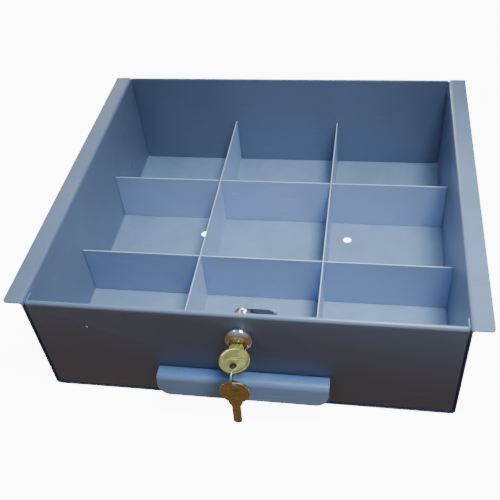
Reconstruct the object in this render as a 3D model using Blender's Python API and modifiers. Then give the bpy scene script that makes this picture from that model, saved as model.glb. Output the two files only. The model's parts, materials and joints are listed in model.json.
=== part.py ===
"""A sheet-steel cash drawer with a lift-out divider grid, a formed pull and a wafer cam lock.

Metres, +Z up, front at -Y. The origin is the middle of the drawer's underside.
"""
from math import atan2, cos, pi, sin, sqrt, tan

import bpy
import bmesh
from mathutils import Vector

# ---------------------------------------------------------------- driving dimensions
BODY_WIDTH = 0.356
BODY_DEPTH = 0.343
BODY_HEIGHT = 0.112
FLANGE_WIDTH = 0.016
SHEET = 0.0012
SHEET_BEND = 0.0042          # outside radius of the wrap's floor bends
FLANGE_BEND = 0.0032         # outside radius of the flange bends
FLANGE_CORNER = 0.003
GAP = 0.0003                 # between pieces that touch

REAR_TAB_WIDTH = 0.014
REAR_TAB_BEND = 0.0016
REAR_TAB_RELIEF = 0.0062     # height of the open corner under each rear tab
REAR_HEM = 0.012             # depth of the back panel's folded top edge

PAN_FLANGE = 0.014           # depth of the front pan's flanges
PAN_BEND = 0.003
PAN_LIP = 0.0034             # depth of the front pan's top lip
PAN_SET_BACK = 0.0003

FLOOR_HOLE_RADIUS = 0.00425
FLOOR_HOLE_X = 0.0776
FLOOR_HOLE_Y = 0.0336
SIDE_HOLE_RADIUS = 0.0015
SIDE_HOLE_FROM_REAR = 0.060
SIDE_HOLE_HEIGHTS = (0.0297, 0.0732)
DIMPLE_HOLE_RADIUS = 0.0014
DIMPLE_HOLE_X = -0.1278
DIMPLE_HOLE_BELOW_RIM = 0.026

DIVIDER_SHEET = 0.0012
DIVIDER_HEIGHT = 0.0552
COLUMN_X = 0.0587
ROW_FRONT_Y = -0.0544
ROW_REAR_Y = 0.05905
COLUMN_FRONT_CLEARANCE = 0.0005    # to the front pan's lip, so that the grid lifts out
DIVIDER_END_CLEARANCE = 0.0005
SLOT_CLEARANCE = 0.0004            # each side of a sheet in a halving slot

PULL_WIDTH = 0.146
PULL_REACH = 0.0125                # top leg's corner, from the panel's face
PULL_TOP_DROP = 0.0705             # top leg, below the rim
PULL_LIP_DROP = 0.0165
PULL_LIP_FLARE = 0.0060
PULL_BEND = 0.0048
PULL_FLANGE = 0.0165
PULL_FLANGE_BEND = 0.0022
PULL_CORNER = 0.011
RIVET_RADIUS = 0.0020
RIVET_HEAD_RADIUS = 0.0036
RIVET_HEAD_HEIGHT = 0.0012
RIVET_SPACING = 0.055
RIVET_BELOW_PULL_TOP = 0.0088

LOCK_X = 0.0005
LOCK_BELOW_RIM = 0.0256
BEZEL_RADIUS = 0.0121
BEZEL_HEIGHT = 0.0080
BARREL_RADIUS = 0.0095
BARREL_FLAT = 0.0080               # from the axis to each flat
BARREL_LENGTH = 0.0222             # behind the panel's face
PLUG_RADIUS = 0.00635
PLUG_HEAD_RADIUS = 0.0070
PLUG_HEAD_HEIGHT = 0.0022
PLUG_RECESS = 0.0006
LOCK_CLEARANCE = 0.0002            # between the plug and its bore
TAIL_HALF = 0.0035
NUT_ACROSS_FLATS = 0.0225
NUT_THICKNESS = 0.0036
LOCK_WASHER_RADIUS = 0.0128
LOCK_WASHER_THICKNESS = 0.0008
STOP_WASHER_RADIUS = 0.0078
STOP_WASHER_THICKNESS = 0.0010
STOP_TAB_ANGLE = 0.50              # radians that the stop tab spans
STOP_TURN = pi / 2
STOP_CLEARANCE = 0.04              # radians at each end of the turn
STOP_DEPTH = 0.0018
BEZEL_LIP = 0.0006                 # flat rim round the plug
BEZEL_ROUND = 0.0006               # width of the rim's rounded edge
PLUG_EDGE = 0.0003                 # bevel round the plug's face
WASHER_TEETH = 12
CAM_THICKNESS = 0.0016
CAM_HALF_WIDTH = 0.0070
CAM_REACH = 0.0285
CAM_TIP = 0.0065
CAM_TIP_RISE = 0.0035
CAM_WASHER_RADIUS = 0.0046
CAM_WASHER_THICKNESS = 0.0008
SCREW_RADIUS = 0.0020
SCREW_HEAD_RADIUS = 0.0042
SCREW_HEAD_HEIGHT = 0.0024
SCREW_LENGTH = 0.0070
DRIVER_SLOT_WIDTH = 0.0010
WASHER_SPLIT = 0.24                # radians open in the spring washer

WAFERS = 5
WAFER_PITCH = 0.0029
WAFER_FIRST = 0.0016               # first wafer's middle, in front of the panel's face
WAFER_THICKNESS = 0.0010
WAFER_HALF_WIDTH = 0.0030
WAFER_CLEARANCE = 0.0002
LUG_LOW = 0.0002                   # wafer lug's edges, across the plug
LUG_HIGH = 0.0016
LUG_HEIGHT = 0.0016                # lug's rise above the wafer
SPRING_END = -0.0032               # where a wafer spring's far end stands, across the plug
SPRING_WIRE_RADIUS = 0.00011
SPRING_COIL_RADIUS = 0.00045
SPRING_TURNS = 4

KEY_BOW_RADIUS = 0.01225
KEY_LENGTH = 0.050
KEY_THICKNESS = 0.0020
KEY_HOLE_RADIUS = 0.00285
KEY_HOLE_OFFSET = 0.0055           # from the bow's middle, away from the blade
KEY_BLADE_HALF = 0.0037
KEY_NECK_HALF = 0.0058
KEY_NECK_LENGTH = 0.0008           # straight part of the neck, in front of the bow
KEY_SHOULDER_LENGTH = 0.0032
KEY_TIP_LENGTH = 0.0022
KEY_UNCUT = 0.0066                 # from the neck's end to the first cut's middle
KEY_CUTS = (0.0004, 0.0008, 0.0003, 0.0006, 0.0005)    # depths, bow to tip
KEY_BOW_TO_PANEL = 0.0238          # bow's middle, in front of the panel's face
KEYWAY_CLEARANCE = 0.0003
RING_RADIUS = 0.0095
RING_WIRE_RADIUS = 0.00075
RING_FORWARD = 0.0054              # ring's middle, in front of the key's hole
RING_DROP = 0.0071                 # ring's middle, below the key
SPARE_KEY_TILT = 0.105             # radians that the hanging key leans out

# ---------------------------------------------------------------- places worked out from them
FRONT_Y = -BODY_DEPTH / 2
REAR_Y = BODY_DEPTH / 2
PANEL_Y = FRONT_Y + PAN_SET_BACK
INNER_HALF = BODY_WIDTH / 2 - SHEET
BACK_INNER_Y = REAR_Y - 2 * SHEET - GAP
LOCK_Z = BODY_HEIGHT - LOCK_BELOW_RIM
LOCK_POINT = Vector((LOCK_X, PANEL_Y, LOCK_Z))
PULL_TOP_Z = BODY_HEIGHT - PULL_TOP_DROP
GRID_BOTTOM = SHEET + GAP
GRID_TOP = GRID_BOTTOM + DIVIDER_HEIGHT
FLOOR_RELIEF = SHEET_BEND - SHEET  # corner radius that clears the floor bends
LUG_TOP = WAFER_HALF_WIDTH + LUG_HEIGHT

CUT_MARGIN = 0.002                 # how far a cutter runs past what it cuts
HALF_TURN = pi
QUARTER_TURN = pi / 2

# How a flat outline is stood up: its own X and Y become these world axes.
ON_XY = (0, 0, 0)
ON_XZ = (QUARTER_TURN, 0, 0)
ON_YZ = (QUARTER_TURN, 0, QUARTER_TURN)
LOCK_TURNED = (QUARTER_TURN, 0, 0)  # own +Z points out of the front, own +Y points up


# ---------------------------------------------------------------- helpers
def start_scene():
    for old in list(bpy.data.objects):
        bpy.data.objects.remove(old, do_unlink=True)
    for name in ("cash_drawer", "cutters"):
        collection = bpy.data.collections.new(name)
        bpy.context.scene.collection.children.link(collection)


def make_material(name, colour, metallic, roughness):
    material = bpy.data.materials.new(name)
    material.use_nodes = True
    shader = material.node_tree.nodes["Principled BSDF"]
    shader.inputs["Base Color"].default_value = (*colour, 1.0)
    shader.inputs["Metallic"].default_value = metallic
    shader.inputs["Roughness"].default_value = roughness
    material.diffuse_color = (*colour, 1.0)
    return material


def link(name, data, cutter=False):
    """Add an object to the drawer's collection, or to the cutters'."""
    thing = bpy.data.objects.new(name, data)
    bpy.data.collections["cutters" if cutter else "cash_drawer"].objects.link(thing)
    if cutter:
        thing.hide_render = True
        thing.display_type = "WIRE"
    return thing


def mesh_object(name, shape, cutter=False):
    """Turn a bmesh into an object."""
    mesh = bpy.data.meshes.new(name)
    shape.to_mesh(mesh)
    shape.free()
    return link(name, mesh, cutter)


def cuboid(low, high):
    """A bmesh of the rectangular block between two opposite corners."""
    shape = bmesh.new()
    bmesh.ops.create_cube(shape, size=1.0)
    low, high = Vector(low), Vector(high)
    for vertex in shape.verts:
        vertex.co = [middle + part * side for middle, part, side
                     in zip((low + high) / 2, vertex.co, high - low)]
    return shape


def box(name, low, high):
    """A rectangular cutter between two opposite corners."""
    return mesh_object(name, cuboid(low, high), cutter=True)


def cylinder(name, radius, length, location, rotation=ON_XY, steps=24):
    """A round cutter whose middle is at location and whose length runs along its own Z."""
    shape = bmesh.new()
    bmesh.ops.create_cone(shape, cap_ends=True, segments=steps, radius1=radius, radius2=radius,
                          depth=length)
    bar = mesh_object(name, shape, cutter=True)
    bar.location = location
    bar.rotation_euler = rotation
    return bar


def to_mesh(curve_object, cutter=False):
    """Replace a curve object with the closed mesh of the same shape."""
    bpy.context.view_layer.update()
    evaluated = curve_object.evaluated_get(bpy.context.evaluated_depsgraph_get())
    mesh = bpy.data.meshes.new_from_object(evaluated)
    shape = bmesh.new()
    shape.from_mesh(mesh)
    bmesh.ops.remove_doubles(shape, verts=shape.verts, dist=0.000001)
    shape.to_mesh(mesh)
    shape.free()
    name = curve_object.name
    place = curve_object.matrix_world.copy()
    bpy.data.objects.remove(curve_object, do_unlink=True)
    solid = link(name, mesh, cutter)
    solid.matrix_world = place
    return solid


def plate(name, outlines, thickness, location=(0, 0, 0), rotation=ON_XY, cutter=False):
    """A flat plate of the given outlines: the first is its edge, any others are holes."""
    curve = bpy.data.curves.new(name, "CURVE")
    curve.dimensions = "2D"
    curve.fill_mode = "BOTH"
    curve.extrude = thickness / 2
    for outline in outlines:
        spline = curve.splines.new("POLY")
        spline.points.add(len(outline) - 1)
        for point, (across, along) in zip(spline.points, outline):
            point.co = (across, along, 0, 1)
        spline.use_cyclic_u = True
    flat = link(name, curve, cutter)
    flat.location = location
    flat.rotation_euler = rotation
    return to_mesh(flat, cutter)


def arc(centre, radius, start, end, steps):
    return [(centre[0] + radius * cos(start + (end - start) * step / steps),
             centre[1] + radius * sin(start + (end - start) * step / steps))
            for step in range(steps + 1)]


def circle(centre, radius, steps=24):
    return arc(centre, radius, 0, 2 * pi, steps)[:-1]


def rectangle(low, high):
    return [low, (high[0], low[1]), high, (low[0], high[1])]


def bent_side(path, offset, radii, steps):
    """One face of a bent sheet: the path moved sideways, each corner an arc about its bend."""
    points = []
    last = len(path) - 1
    for index, corner in enumerate(path):
        before = Vector(corner) - Vector(path[index - 1]) if index else None
        after = Vector(path[index + 1]) - Vector(corner) if index < last else None
        if before is None or after is None:
            along = (after if before is None else before).normalized()
            points.append((corner[0] - along.y * offset, corner[1] + along.x * offset))
            continue
        before.normalize()
        after.normalize()
        turn = atan2(before.x * after.y - before.y * after.x, before.dot(after))
        side = 1 if turn > 0 else -1
        radius = radii[index - 1]
        back = radius * tan(abs(turn) / 2)
        start = Vector(corner) - before * back
        centre = start + side * radius * Vector((-before.y, before.x))
        first = atan2(*reversed(start - centre))
        points += arc(centre, radius - side * offset, first, first + turn, steps)
    return points


def bent_sheet(path, radii, thickness=SHEET, steps=4):
    """Outline of a bent sheet's edge, from its middle line and its bends' middle radii."""
    return (bent_side(path, thickness / 2, radii, steps)
            + bent_side(path, -thickness / 2, radii, steps)[::-1])


def turned(name, profile, location, steps=32, ring=True):
    """A turned piece: its profile of (radius, height) runs down its outer side, top to bottom."""
    mesh = bpy.data.meshes.new(name)
    points = [(radius, 0, height) for radius, height in profile]
    edges = [(index, index + 1) for index in range(len(points) - 1)]
    if ring:
        edges.append((len(points) - 1, 0))
    mesh.from_pydata(points, edges, [])
    piece = link(name, mesh)
    piece.location = location
    piece.rotation_euler = LOCK_TURNED
    screw = piece.modifiers.new("turn", "SCREW")
    screw.steps = steps
    screw.render_steps = steps
    screw.use_merge_vertices = True
    screw.merge_threshold = 0.000001
    return piece


def combine(target, tool, operation):
    """Cut a tool out of a piece, join it on, or keep only what they share."""
    step = target.modifiers.new(f"{operation.lower()} {tool.name}", "BOOLEAN")
    step.operation = operation
    step.object = tool
    step.solver = "EXACT"


def hold(piece, parent):
    """Parent a piece without moving it."""
    bpy.context.view_layer.update()
    piece.parent = parent
    piece.matrix_parent_inverse = parent.matrix_world.inverted()


def axis_empty(name, location):
    empty = bpy.data.objects.new(name, None)
    bpy.data.collections["cutters"].objects.link(empty)
    empty.location = location
    empty.hide_render = True
    return empty


def paint(piece, material):
    piece.data.materials.append(material)
    return piece


def out_of_panel(distance, across=0.0, up=0.0):
    """A point by its distance in front of the front panel, on the lock's axis or beside it."""
    return LOCK_POINT + Vector((across, -distance, up))


# ---------------------------------------------------------------- the steel body
def make_tray_wrap(finish):
    """Floor, side walls and runner flanges bent from one sheet, with three rear tabs."""
    half = BODY_WIDTH / 2 - SHEET / 2
    top = BODY_HEIGHT - SHEET / 2
    edge = half + FLANGE_WIDTH + SHEET / 2
    path = [(-edge, top), (-half, top), (-half, SHEET / 2), (half, SHEET / 2), (half, top),
            (edge, top)]
    flange_bend = FLANGE_BEND - SHEET / 2
    floor_bend = SHEET_BEND - SHEET / 2
    section = bent_sheet(path, [flange_bend, floor_bend, floor_bend, flange_bend])
    wrap = plate("tray_wrap", [section], BODY_DEPTH, rotation=ON_XZ)

    for side, word in ((-1, "left"), (1, "right")):
        corner = plate(f"flange corner {word}", [flange_corner_outline(side)], 4 * SHEET,
                       location=(0, 0, BODY_HEIGHT), cutter=True)
        combine(wrap, corner, "DIFFERENCE")
        add_side_tab(wrap, side, word)
        for height in SIDE_HOLE_HEIGHTS:
            hole = cylinder(f"side hole {word} {height}", SIDE_HOLE_RADIUS, 4 * SHEET,
                            (side * half, REAR_Y - SIDE_HOLE_FROM_REAR, height),
                            rotation=(0, QUARTER_TURN, 0), steps=12)
            combine(wrap, hole, "DIFFERENCE")
        hole = cylinder(f"floor hole {word}", FLOOR_HOLE_RADIUS, 4 * SHEET,
                        (side * FLOOR_HOLE_X, FLOOR_HOLE_Y, 0))
        combine(wrap, hole, "DIFFERENCE")
    add_floor_tab(wrap)
    return paint(wrap, finish)


def flange_corner_outline(side):
    """The waste outside a flange's rounded front corner."""
    tip = BODY_WIDTH / 2 + FLANGE_WIDTH
    bend = arc((tip - FLANGE_CORNER, FRONT_Y + FLANGE_CORNER), FLANGE_CORNER, 0, -QUARTER_TURN, 5)
    waste = bend + [(tip - FLANGE_CORNER, FRONT_Y - CUT_MARGIN),
                    (tip + CUT_MARGIN, FRONT_Y - CUT_MARGIN),
                    (tip + CUT_MARGIN, FRONT_Y + FLANGE_CORNER)]
    return [(side * across, along) for across, along in waste]


def add_side_tab(wrap, side, word):
    """Fold a side wall's rear edge inwards, between an open corner and the hem."""
    low = REAR_TAB_RELIEF
    high = BODY_HEIGHT - REAR_HEM - 4 * SHEET
    near, far = sorted((side * (INNER_HALF - CUT_MARGIN), side * (BODY_WIDTH / 2 + CUT_MARGIN)))
    cleared = box(f"rear corner {word}", (near, REAR_Y - REAR_TAB_BEND, low),
                  (far, REAR_Y + CUT_MARGIN, high))
    combine(wrap, cleared, "DIFFERENCE")
    wall = BODY_WIDTH / 2 - SHEET / 2
    path = [(side * wall, REAR_Y - REAR_TAB_BEND - CUT_MARGIN),
            (side * wall, REAR_Y - SHEET / 2),
            (side * (BODY_WIDTH / 2 - REAR_TAB_WIDTH), REAR_Y - SHEET / 2)]
    tab = plate(f"side tab {word}", [bent_sheet(path, [REAR_TAB_BEND - SHEET / 2])], high - low,
                location=(0, 0, (low + high) / 2), cutter=True)
    combine(wrap, tab, "UNION")


def add_floor_tab(wrap):
    """Fold the floor's rear edge upwards, between the two open corners."""
    half = BODY_WIDTH / 2 - REAR_TAB_WIDTH
    cleared = box("floor rear edge", (-half, REAR_Y - REAR_TAB_BEND, -CUT_MARGIN),
                  (half, REAR_Y + CUT_MARGIN, SHEET + CUT_MARGIN))
    combine(wrap, cleared, "DIFFERENCE")
    path = [(REAR_Y - REAR_TAB_BEND - CUT_MARGIN, SHEET / 2), (REAR_Y - SHEET / 2, SHEET / 2),
            (REAR_Y - SHEET / 2, REAR_TAB_WIDTH)]
    tab = plate("floor tab", [bent_sheet(path, [REAR_TAB_BEND - SHEET / 2])], 2 * half,
                rotation=ON_YZ, cutter=True)
    combine(wrap, tab, "UNION")


def make_front_panel(finish):
    """A shallow pan, open at the back, set between the side walls."""
    shape = cuboid((-INNER_HALF + GAP, PANEL_Y, SHEET + GAP),
                   (INNER_HALF - GAP, PANEL_Y + PAN_FLANGE, BODY_HEIGHT))
    rear = [face for face in shape.faces if face.normal.y > 0.5]
    bmesh.ops.delete(shape, geom=rear, context="FACES")
    bends = [edge for edge in shape.edges if not edge.is_boundary]
    bmesh.ops.bevel(shape, geom=bends, offset=PAN_BEND, offset_type="OFFSET", segments=4,
                    profile=0.5, affect="EDGES")
    panel = mesh_object("front_panel", shape)
    wall = panel.modifiers.new("sheet", "SOLIDIFY")
    wall.thickness = SHEET
    wall.offset = -1.0
    wall.use_even_offset = True

    trim = box("lip trim", (-BODY_WIDTH / 2, PANEL_Y + PAN_LIP, BODY_HEIGHT - PAN_BEND),
               (BODY_WIDTH / 2, PANEL_Y + PAN_FLANGE + CUT_MARGIN, BODY_HEIGHT + CUT_MARGIN))
    combine(panel, trim, "DIFFERENCE")
    lock_hole = plate("lock hole", [barrel_outline(GAP)], 4 * SHEET, location=LOCK_POINT,
                      rotation=LOCK_TURNED, cutter=True)
    combine(panel, lock_hole, "DIFFERENCE")
    dimple = cylinder("dimple hole", DIMPLE_HOLE_RADIUS, 4 * SHEET,
                      (DIMPLE_HOLE_X, PANEL_Y, BODY_HEIGHT - DIMPLE_HOLE_BELOW_RIM),
                      rotation=ON_XZ, steps=12)
    combine(panel, dimple, "DIFFERENCE")
    for place in rivet_places():
        hole = cylinder(f"panel rivet hole {place:.3f}", RIVET_RADIUS + GAP, 4 * SHEET,
                        (place, PANEL_Y, rivet_height()), rotation=ON_XZ, steps=16)
        combine(panel, hole, "DIFFERENCE")
    return paint(panel, finish)


def make_back_panel(finish):
    """A flat sheet between the side walls, its top edge folded back on itself."""
    inner = GAP / 2
    outer = SHEET + inner
    fold = (BACK_INNER_Y + outer, BODY_HEIGHT - outer)
    hem_foot = BODY_HEIGHT - REAR_HEM
    outline = ([(fold[0] - outer, GRID_BOTTOM)] + arc(fold, outer, HALF_TURN, 0, 8)
               + [(fold[0] + outer, hem_foot), (fold[0] + inner, hem_foot)]
               + arc(fold, inner, 0, HALF_TURN, 4) + [(fold[0] - inner, GRID_BOTTOM)])
    half = INNER_HALF - GAP
    panel = plate("back_panel", [outline], 2 * half, rotation=ON_YZ)
    for side, word in ((-1, "left"), (1, "right")):
        waste = [(across * side, up) for across, up in corner_round(half)]
        waste += [(side * half, GRID_BOTTOM - CUT_MARGIN), (side * (half + CUT_MARGIN), GRID_BOTTOM)]
        relief = plate(f"back corner {word}", [waste], 8 * SHEET, location=(0, REAR_Y, 0),
                       rotation=ON_XZ, cutter=True)
        combine(panel, relief, "DIFFERENCE")
    return paint(panel, finish)


def corner_round(half):
    """The rounded lower right corner of a sheet that stands on the floor, top to bottom."""
    centre = (half - FLOOR_RELIEF, GRID_BOTTOM + FLOOR_RELIEF)
    return arc(centre, FLOOR_RELIEF, 0, -QUARTER_TURN, 5)


# ---------------------------------------------------------------- the divider grid
def make_row_divider(name, along, finish):
    """A divider from side to side, with slots open at the top for the columns."""
    half = INNER_HALF - DIVIDER_END_CLEARANCE
    slot = DIVIDER_SHEET / 2 + SLOT_CLEARANCE
    middle = (GRID_BOTTOM + GRID_TOP) / 2 - SLOT_CLEARANCE
    corner = corner_round(half)
    outline = ([(-across, up) for across, up in corner] + corner[::-1] + [(half, GRID_TOP)])
    for across in (COLUMN_X, -COLUMN_X):
        outline += [(across + slot, GRID_TOP), (across + slot, middle),
                    (across - slot, middle), (across - slot, GRID_TOP)]
    outline.append((-half, GRID_TOP))
    divider = plate(name, [outline], DIVIDER_SHEET, location=(0, along, 0), rotation=ON_XZ)
    return paint(divider, finish)


def make_column_divider(name, across, finish):
    """A divider from front to back, its foot over the pan's flange, its slots open below."""
    front = PANEL_Y + PAN_LIP + COLUMN_FRONT_CLEARANCE
    rear = BACK_INNER_Y - DIVIDER_END_CLEARANCE
    slot = DIVIDER_SHEET / 2 + SLOT_CLEARANCE
    middle = (GRID_BOTTOM + GRID_TOP) / 2 + SLOT_CLEARANCE
    foot = 2 * SHEET + 2 * GAP
    outline = [(rear, GRID_TOP), (front, GRID_TOP), (front, foot), (front + PAN_FLANGE, foot),
               (front + PAN_FLANGE, GRID_BOTTOM)]
    for along in (ROW_FRONT_Y, ROW_REAR_Y):
        outline += [(along - slot, GRID_BOTTOM), (along - slot, middle),
                    (along + slot, middle), (along + slot, GRID_BOTTOM)]
    outline.append((rear, GRID_BOTTOM))
    divider = plate(name, [outline], DIVIDER_SHEET, location=(across, 0, 0), rotation=ON_YZ)
    return paint(divider, finish)


# ---------------------------------------------------------------- the pull
def pull_path():
    """Middle line of the pull's sheet, as (distance along Y, height)."""
    against = PANEL_Y - GAP - SHEET / 2
    top = PULL_TOP_Z - SHEET / 2
    reach = PANEL_Y - PULL_REACH
    return [(against, top - PULL_FLANGE), (against, top), (reach, top),
            (reach - PULL_LIP_FLARE, top - PULL_LIP_DROP)]


def make_pull_handle(finish):
    """A bent strip: a flange on the panel, a level top and a lip that flares out and down."""
    section = bent_sheet(pull_path(), [PULL_FLANGE_BEND, PULL_BEND], steps=6)
    pull = plate("pull_handle", [section], PULL_WIDTH, rotation=ON_YZ)
    half = PULL_WIDTH / 2
    low = PULL_TOP_Z - PULL_LIP_DROP - SHEET
    outline = ([(half + CUT_MARGIN, BODY_HEIGHT)]
               + [(-half - CUT_MARGIN, BODY_HEIGHT), (-half - CUT_MARGIN, low + PULL_CORNER)]
               + arc((-half + PULL_CORNER, low + PULL_CORNER), PULL_CORNER, HALF_TURN,
                     HALF_TURN + QUARTER_TURN, 8)
               + arc((half - PULL_CORNER, low + PULL_CORNER), PULL_CORNER, -QUARTER_TURN, 0, 8)
               + [(half + CUT_MARGIN, low + PULL_CORNER)])
    kept = plate("pull corners", [outline], 4 * PULL_REACH, location=(0, PANEL_Y, 0),
                 rotation=ON_XZ, cutter=True)
    combine(pull, kept, "INTERSECT")
    for place in rivet_places():
        hole = cylinder(f"pull rivet hole {place:.3f}", RIVET_RADIUS + GAP, 4 * SHEET,
                        (place, PANEL_Y - SHEET, rivet_height()), rotation=ON_XZ, steps=16)
        combine(pull, hole, "DIFFERENCE")
    return paint(pull, finish)


def rivet_places():
    return (-RIVET_SPACING, 0.0, RIVET_SPACING)


def rivet_height():
    return PULL_TOP_Z - RIVET_BELOW_PULL_TOP


def make_rivet(name, across, finish):
    """A domed head in front of the pull's flange and a set head behind the panel."""
    front = SHEET + 2 * GAP
    back = -SHEET - GAP
    profile = [(0, front + RIVET_HEAD_HEIGHT),
               (0.6 * RIVET_HEAD_RADIUS, front + 0.85 * RIVET_HEAD_HEIGHT),
               (RIVET_HEAD_RADIUS, front + 0.3 * RIVET_HEAD_HEIGHT), (RIVET_HEAD_RADIUS, front),
               (RIVET_RADIUS, front), (RIVET_RADIUS, back), (RIVET_HEAD_RADIUS, back),
               (RIVET_HEAD_RADIUS, back - 0.3 * RIVET_HEAD_HEIGHT),
               (0.6 * RIVET_HEAD_RADIUS, back - 0.8 * RIVET_HEAD_HEIGHT),
               (0, back - 0.8 * RIVET_HEAD_HEIGHT)]
    rivet = turned(name, profile, (across, PANEL_Y, rivet_height()), steps=16, ring=False)
    return paint(rivet, finish)


# ---------------------------------------------------------------- the lock's fixed pieces
def barrel_outline(clearance):
    """The threaded body's edge: a circle with two upright flats."""
    radius = BARREL_RADIUS + clearance
    flat = BARREL_FLAT + clearance
    meet = atan2(sqrt(radius ** 2 - flat ** 2), flat)
    return (arc((0, 0), radius, meet, HALF_TURN - meet, 10)
            + arc((0, 0), radius, HALF_TURN + meet, 2 * pi - meet, 10))


def make_lock_barrel(finish):
    """A domed head and a body with two flats, bored for the plug."""
    bore = PLUG_RADIUS + LOCK_CLEARANCE
    seat = PLUG_HEAD_RADIUS + LOCK_CLEARANCE
    ledge = BEZEL_HEIGHT - PLUG_RECESS - PLUG_HEAD_HEIGHT - LOCK_CLEARANCE
    dome = [(0.86, 0.80), (0.95, 0.55), (1.0, 0.28)]     # shares of the head's radius and height
    profile = [(seat, BEZEL_HEIGHT), (seat + BEZEL_LIP, BEZEL_HEIGHT),
               (seat + BEZEL_LIP + BEZEL_ROUND, 0.96 * BEZEL_HEIGHT),
               *((out * BEZEL_RADIUS, up * BEZEL_HEIGHT) for out, up in dome),
               (BEZEL_RADIUS, GAP), (BARREL_RADIUS, GAP),
               (BARREL_RADIUS, -BARREL_LENGTH), (bore, -BARREL_LENGTH), (bore, ledge),
               (seat, ledge)]
    barrel = turned("lock_barrel", profile, LOCK_POINT, steps=40)
    for side in (-1, 1):
        near, far = sorted((side * BARREL_FLAT, side * 2 * BARREL_RADIUS))
        flat = box(f"barrel flat {side}",
                   out_of_panel(GAP, across=near, up=-2 * BARREL_RADIUS),
                   out_of_panel(-BARREL_LENGTH - CUT_MARGIN, across=far, up=2 * BARREL_RADIUS))
        combine(barrel, flat, "DIFFERENCE")
    span = STOP_TURN + STOP_TAB_ANGLE + 2 * STOP_CLEARANCE
    start = stop_tab_start() - STOP_CLEARANCE
    notch = plate("stop notch", [arc((0, 0), 2 * BARREL_RADIUS, start, start + span, 12)
                                 + [(0, 0)]], 2 * STOP_DEPTH,
                  location=out_of_panel(-BARREL_LENGTH), rotation=LOCK_TURNED, cutter=True)
    combine(barrel, notch, "DIFFERENCE")
    return paint(barrel, finish)


def stop_tab_start():
    """Angle about the lock's axis where the stop tab begins at rest."""
    return QUARTER_TURN - STOP_TAB_ANGLE / 2


def make_lock_washer(finish):
    """A toothed washer between the panel and the nut."""
    inner = BARREL_RADIUS + GAP
    pitch = 2 * pi / WASHER_TEETH
    half = 0.15 * pitch
    edge = []
    for tooth in range(WASHER_TEETH):
        middle = pitch * tooth
        edge += arc((0, 0), LOCK_WASHER_RADIUS, middle - half, middle + half, 1)
        edge += arc((0, 0), 0.9 * LOCK_WASHER_RADIUS, middle + 2 * half,
                    middle + pitch - 2 * half, 1)
    washer = plate("lock_washer", [edge, circle((0, 0), inner, 32)], LOCK_WASHER_THICKNESS,
                   location=out_of_panel(-SHEET - GAP - LOCK_WASHER_THICKNESS / 2),
                   rotation=LOCK_TURNED)
    return paint(washer, finish)


def make_lock_nut(finish):
    """A thin hexagon nut on the barrel."""
    corner = NUT_ACROSS_FLATS / sqrt(3)
    hexagon = circle((0, 0), corner, 6)
    middle = SHEET + 2 * GAP + LOCK_WASHER_THICKNESS + NUT_THICKNESS / 2
    nut = plate("lock_nut", [hexagon, circle((0, 0), BARREL_RADIUS + LOCK_CLEARANCE, 32)],
                NUT_THICKNESS, location=out_of_panel(-middle), rotation=LOCK_TURNED)
    return paint(nut, finish)


# ---------------------------------------------------------------- the lock's turning pieces
def stack():
    """Distances behind the panel's face of the pieces on the plug's tail."""
    washer = BARREL_LENGTH + GAP
    cam = washer + STOP_WASHER_THICKNESS + GAP
    spring = cam + CAM_THICKNESS + GAP
    head = spring + CAM_WASHER_THICKNESS + GAP
    return washer, cam, spring, head


def wafer_places():
    return [WAFER_FIRST - WAFER_PITCH * index for index in range(WAFERS)]


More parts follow.
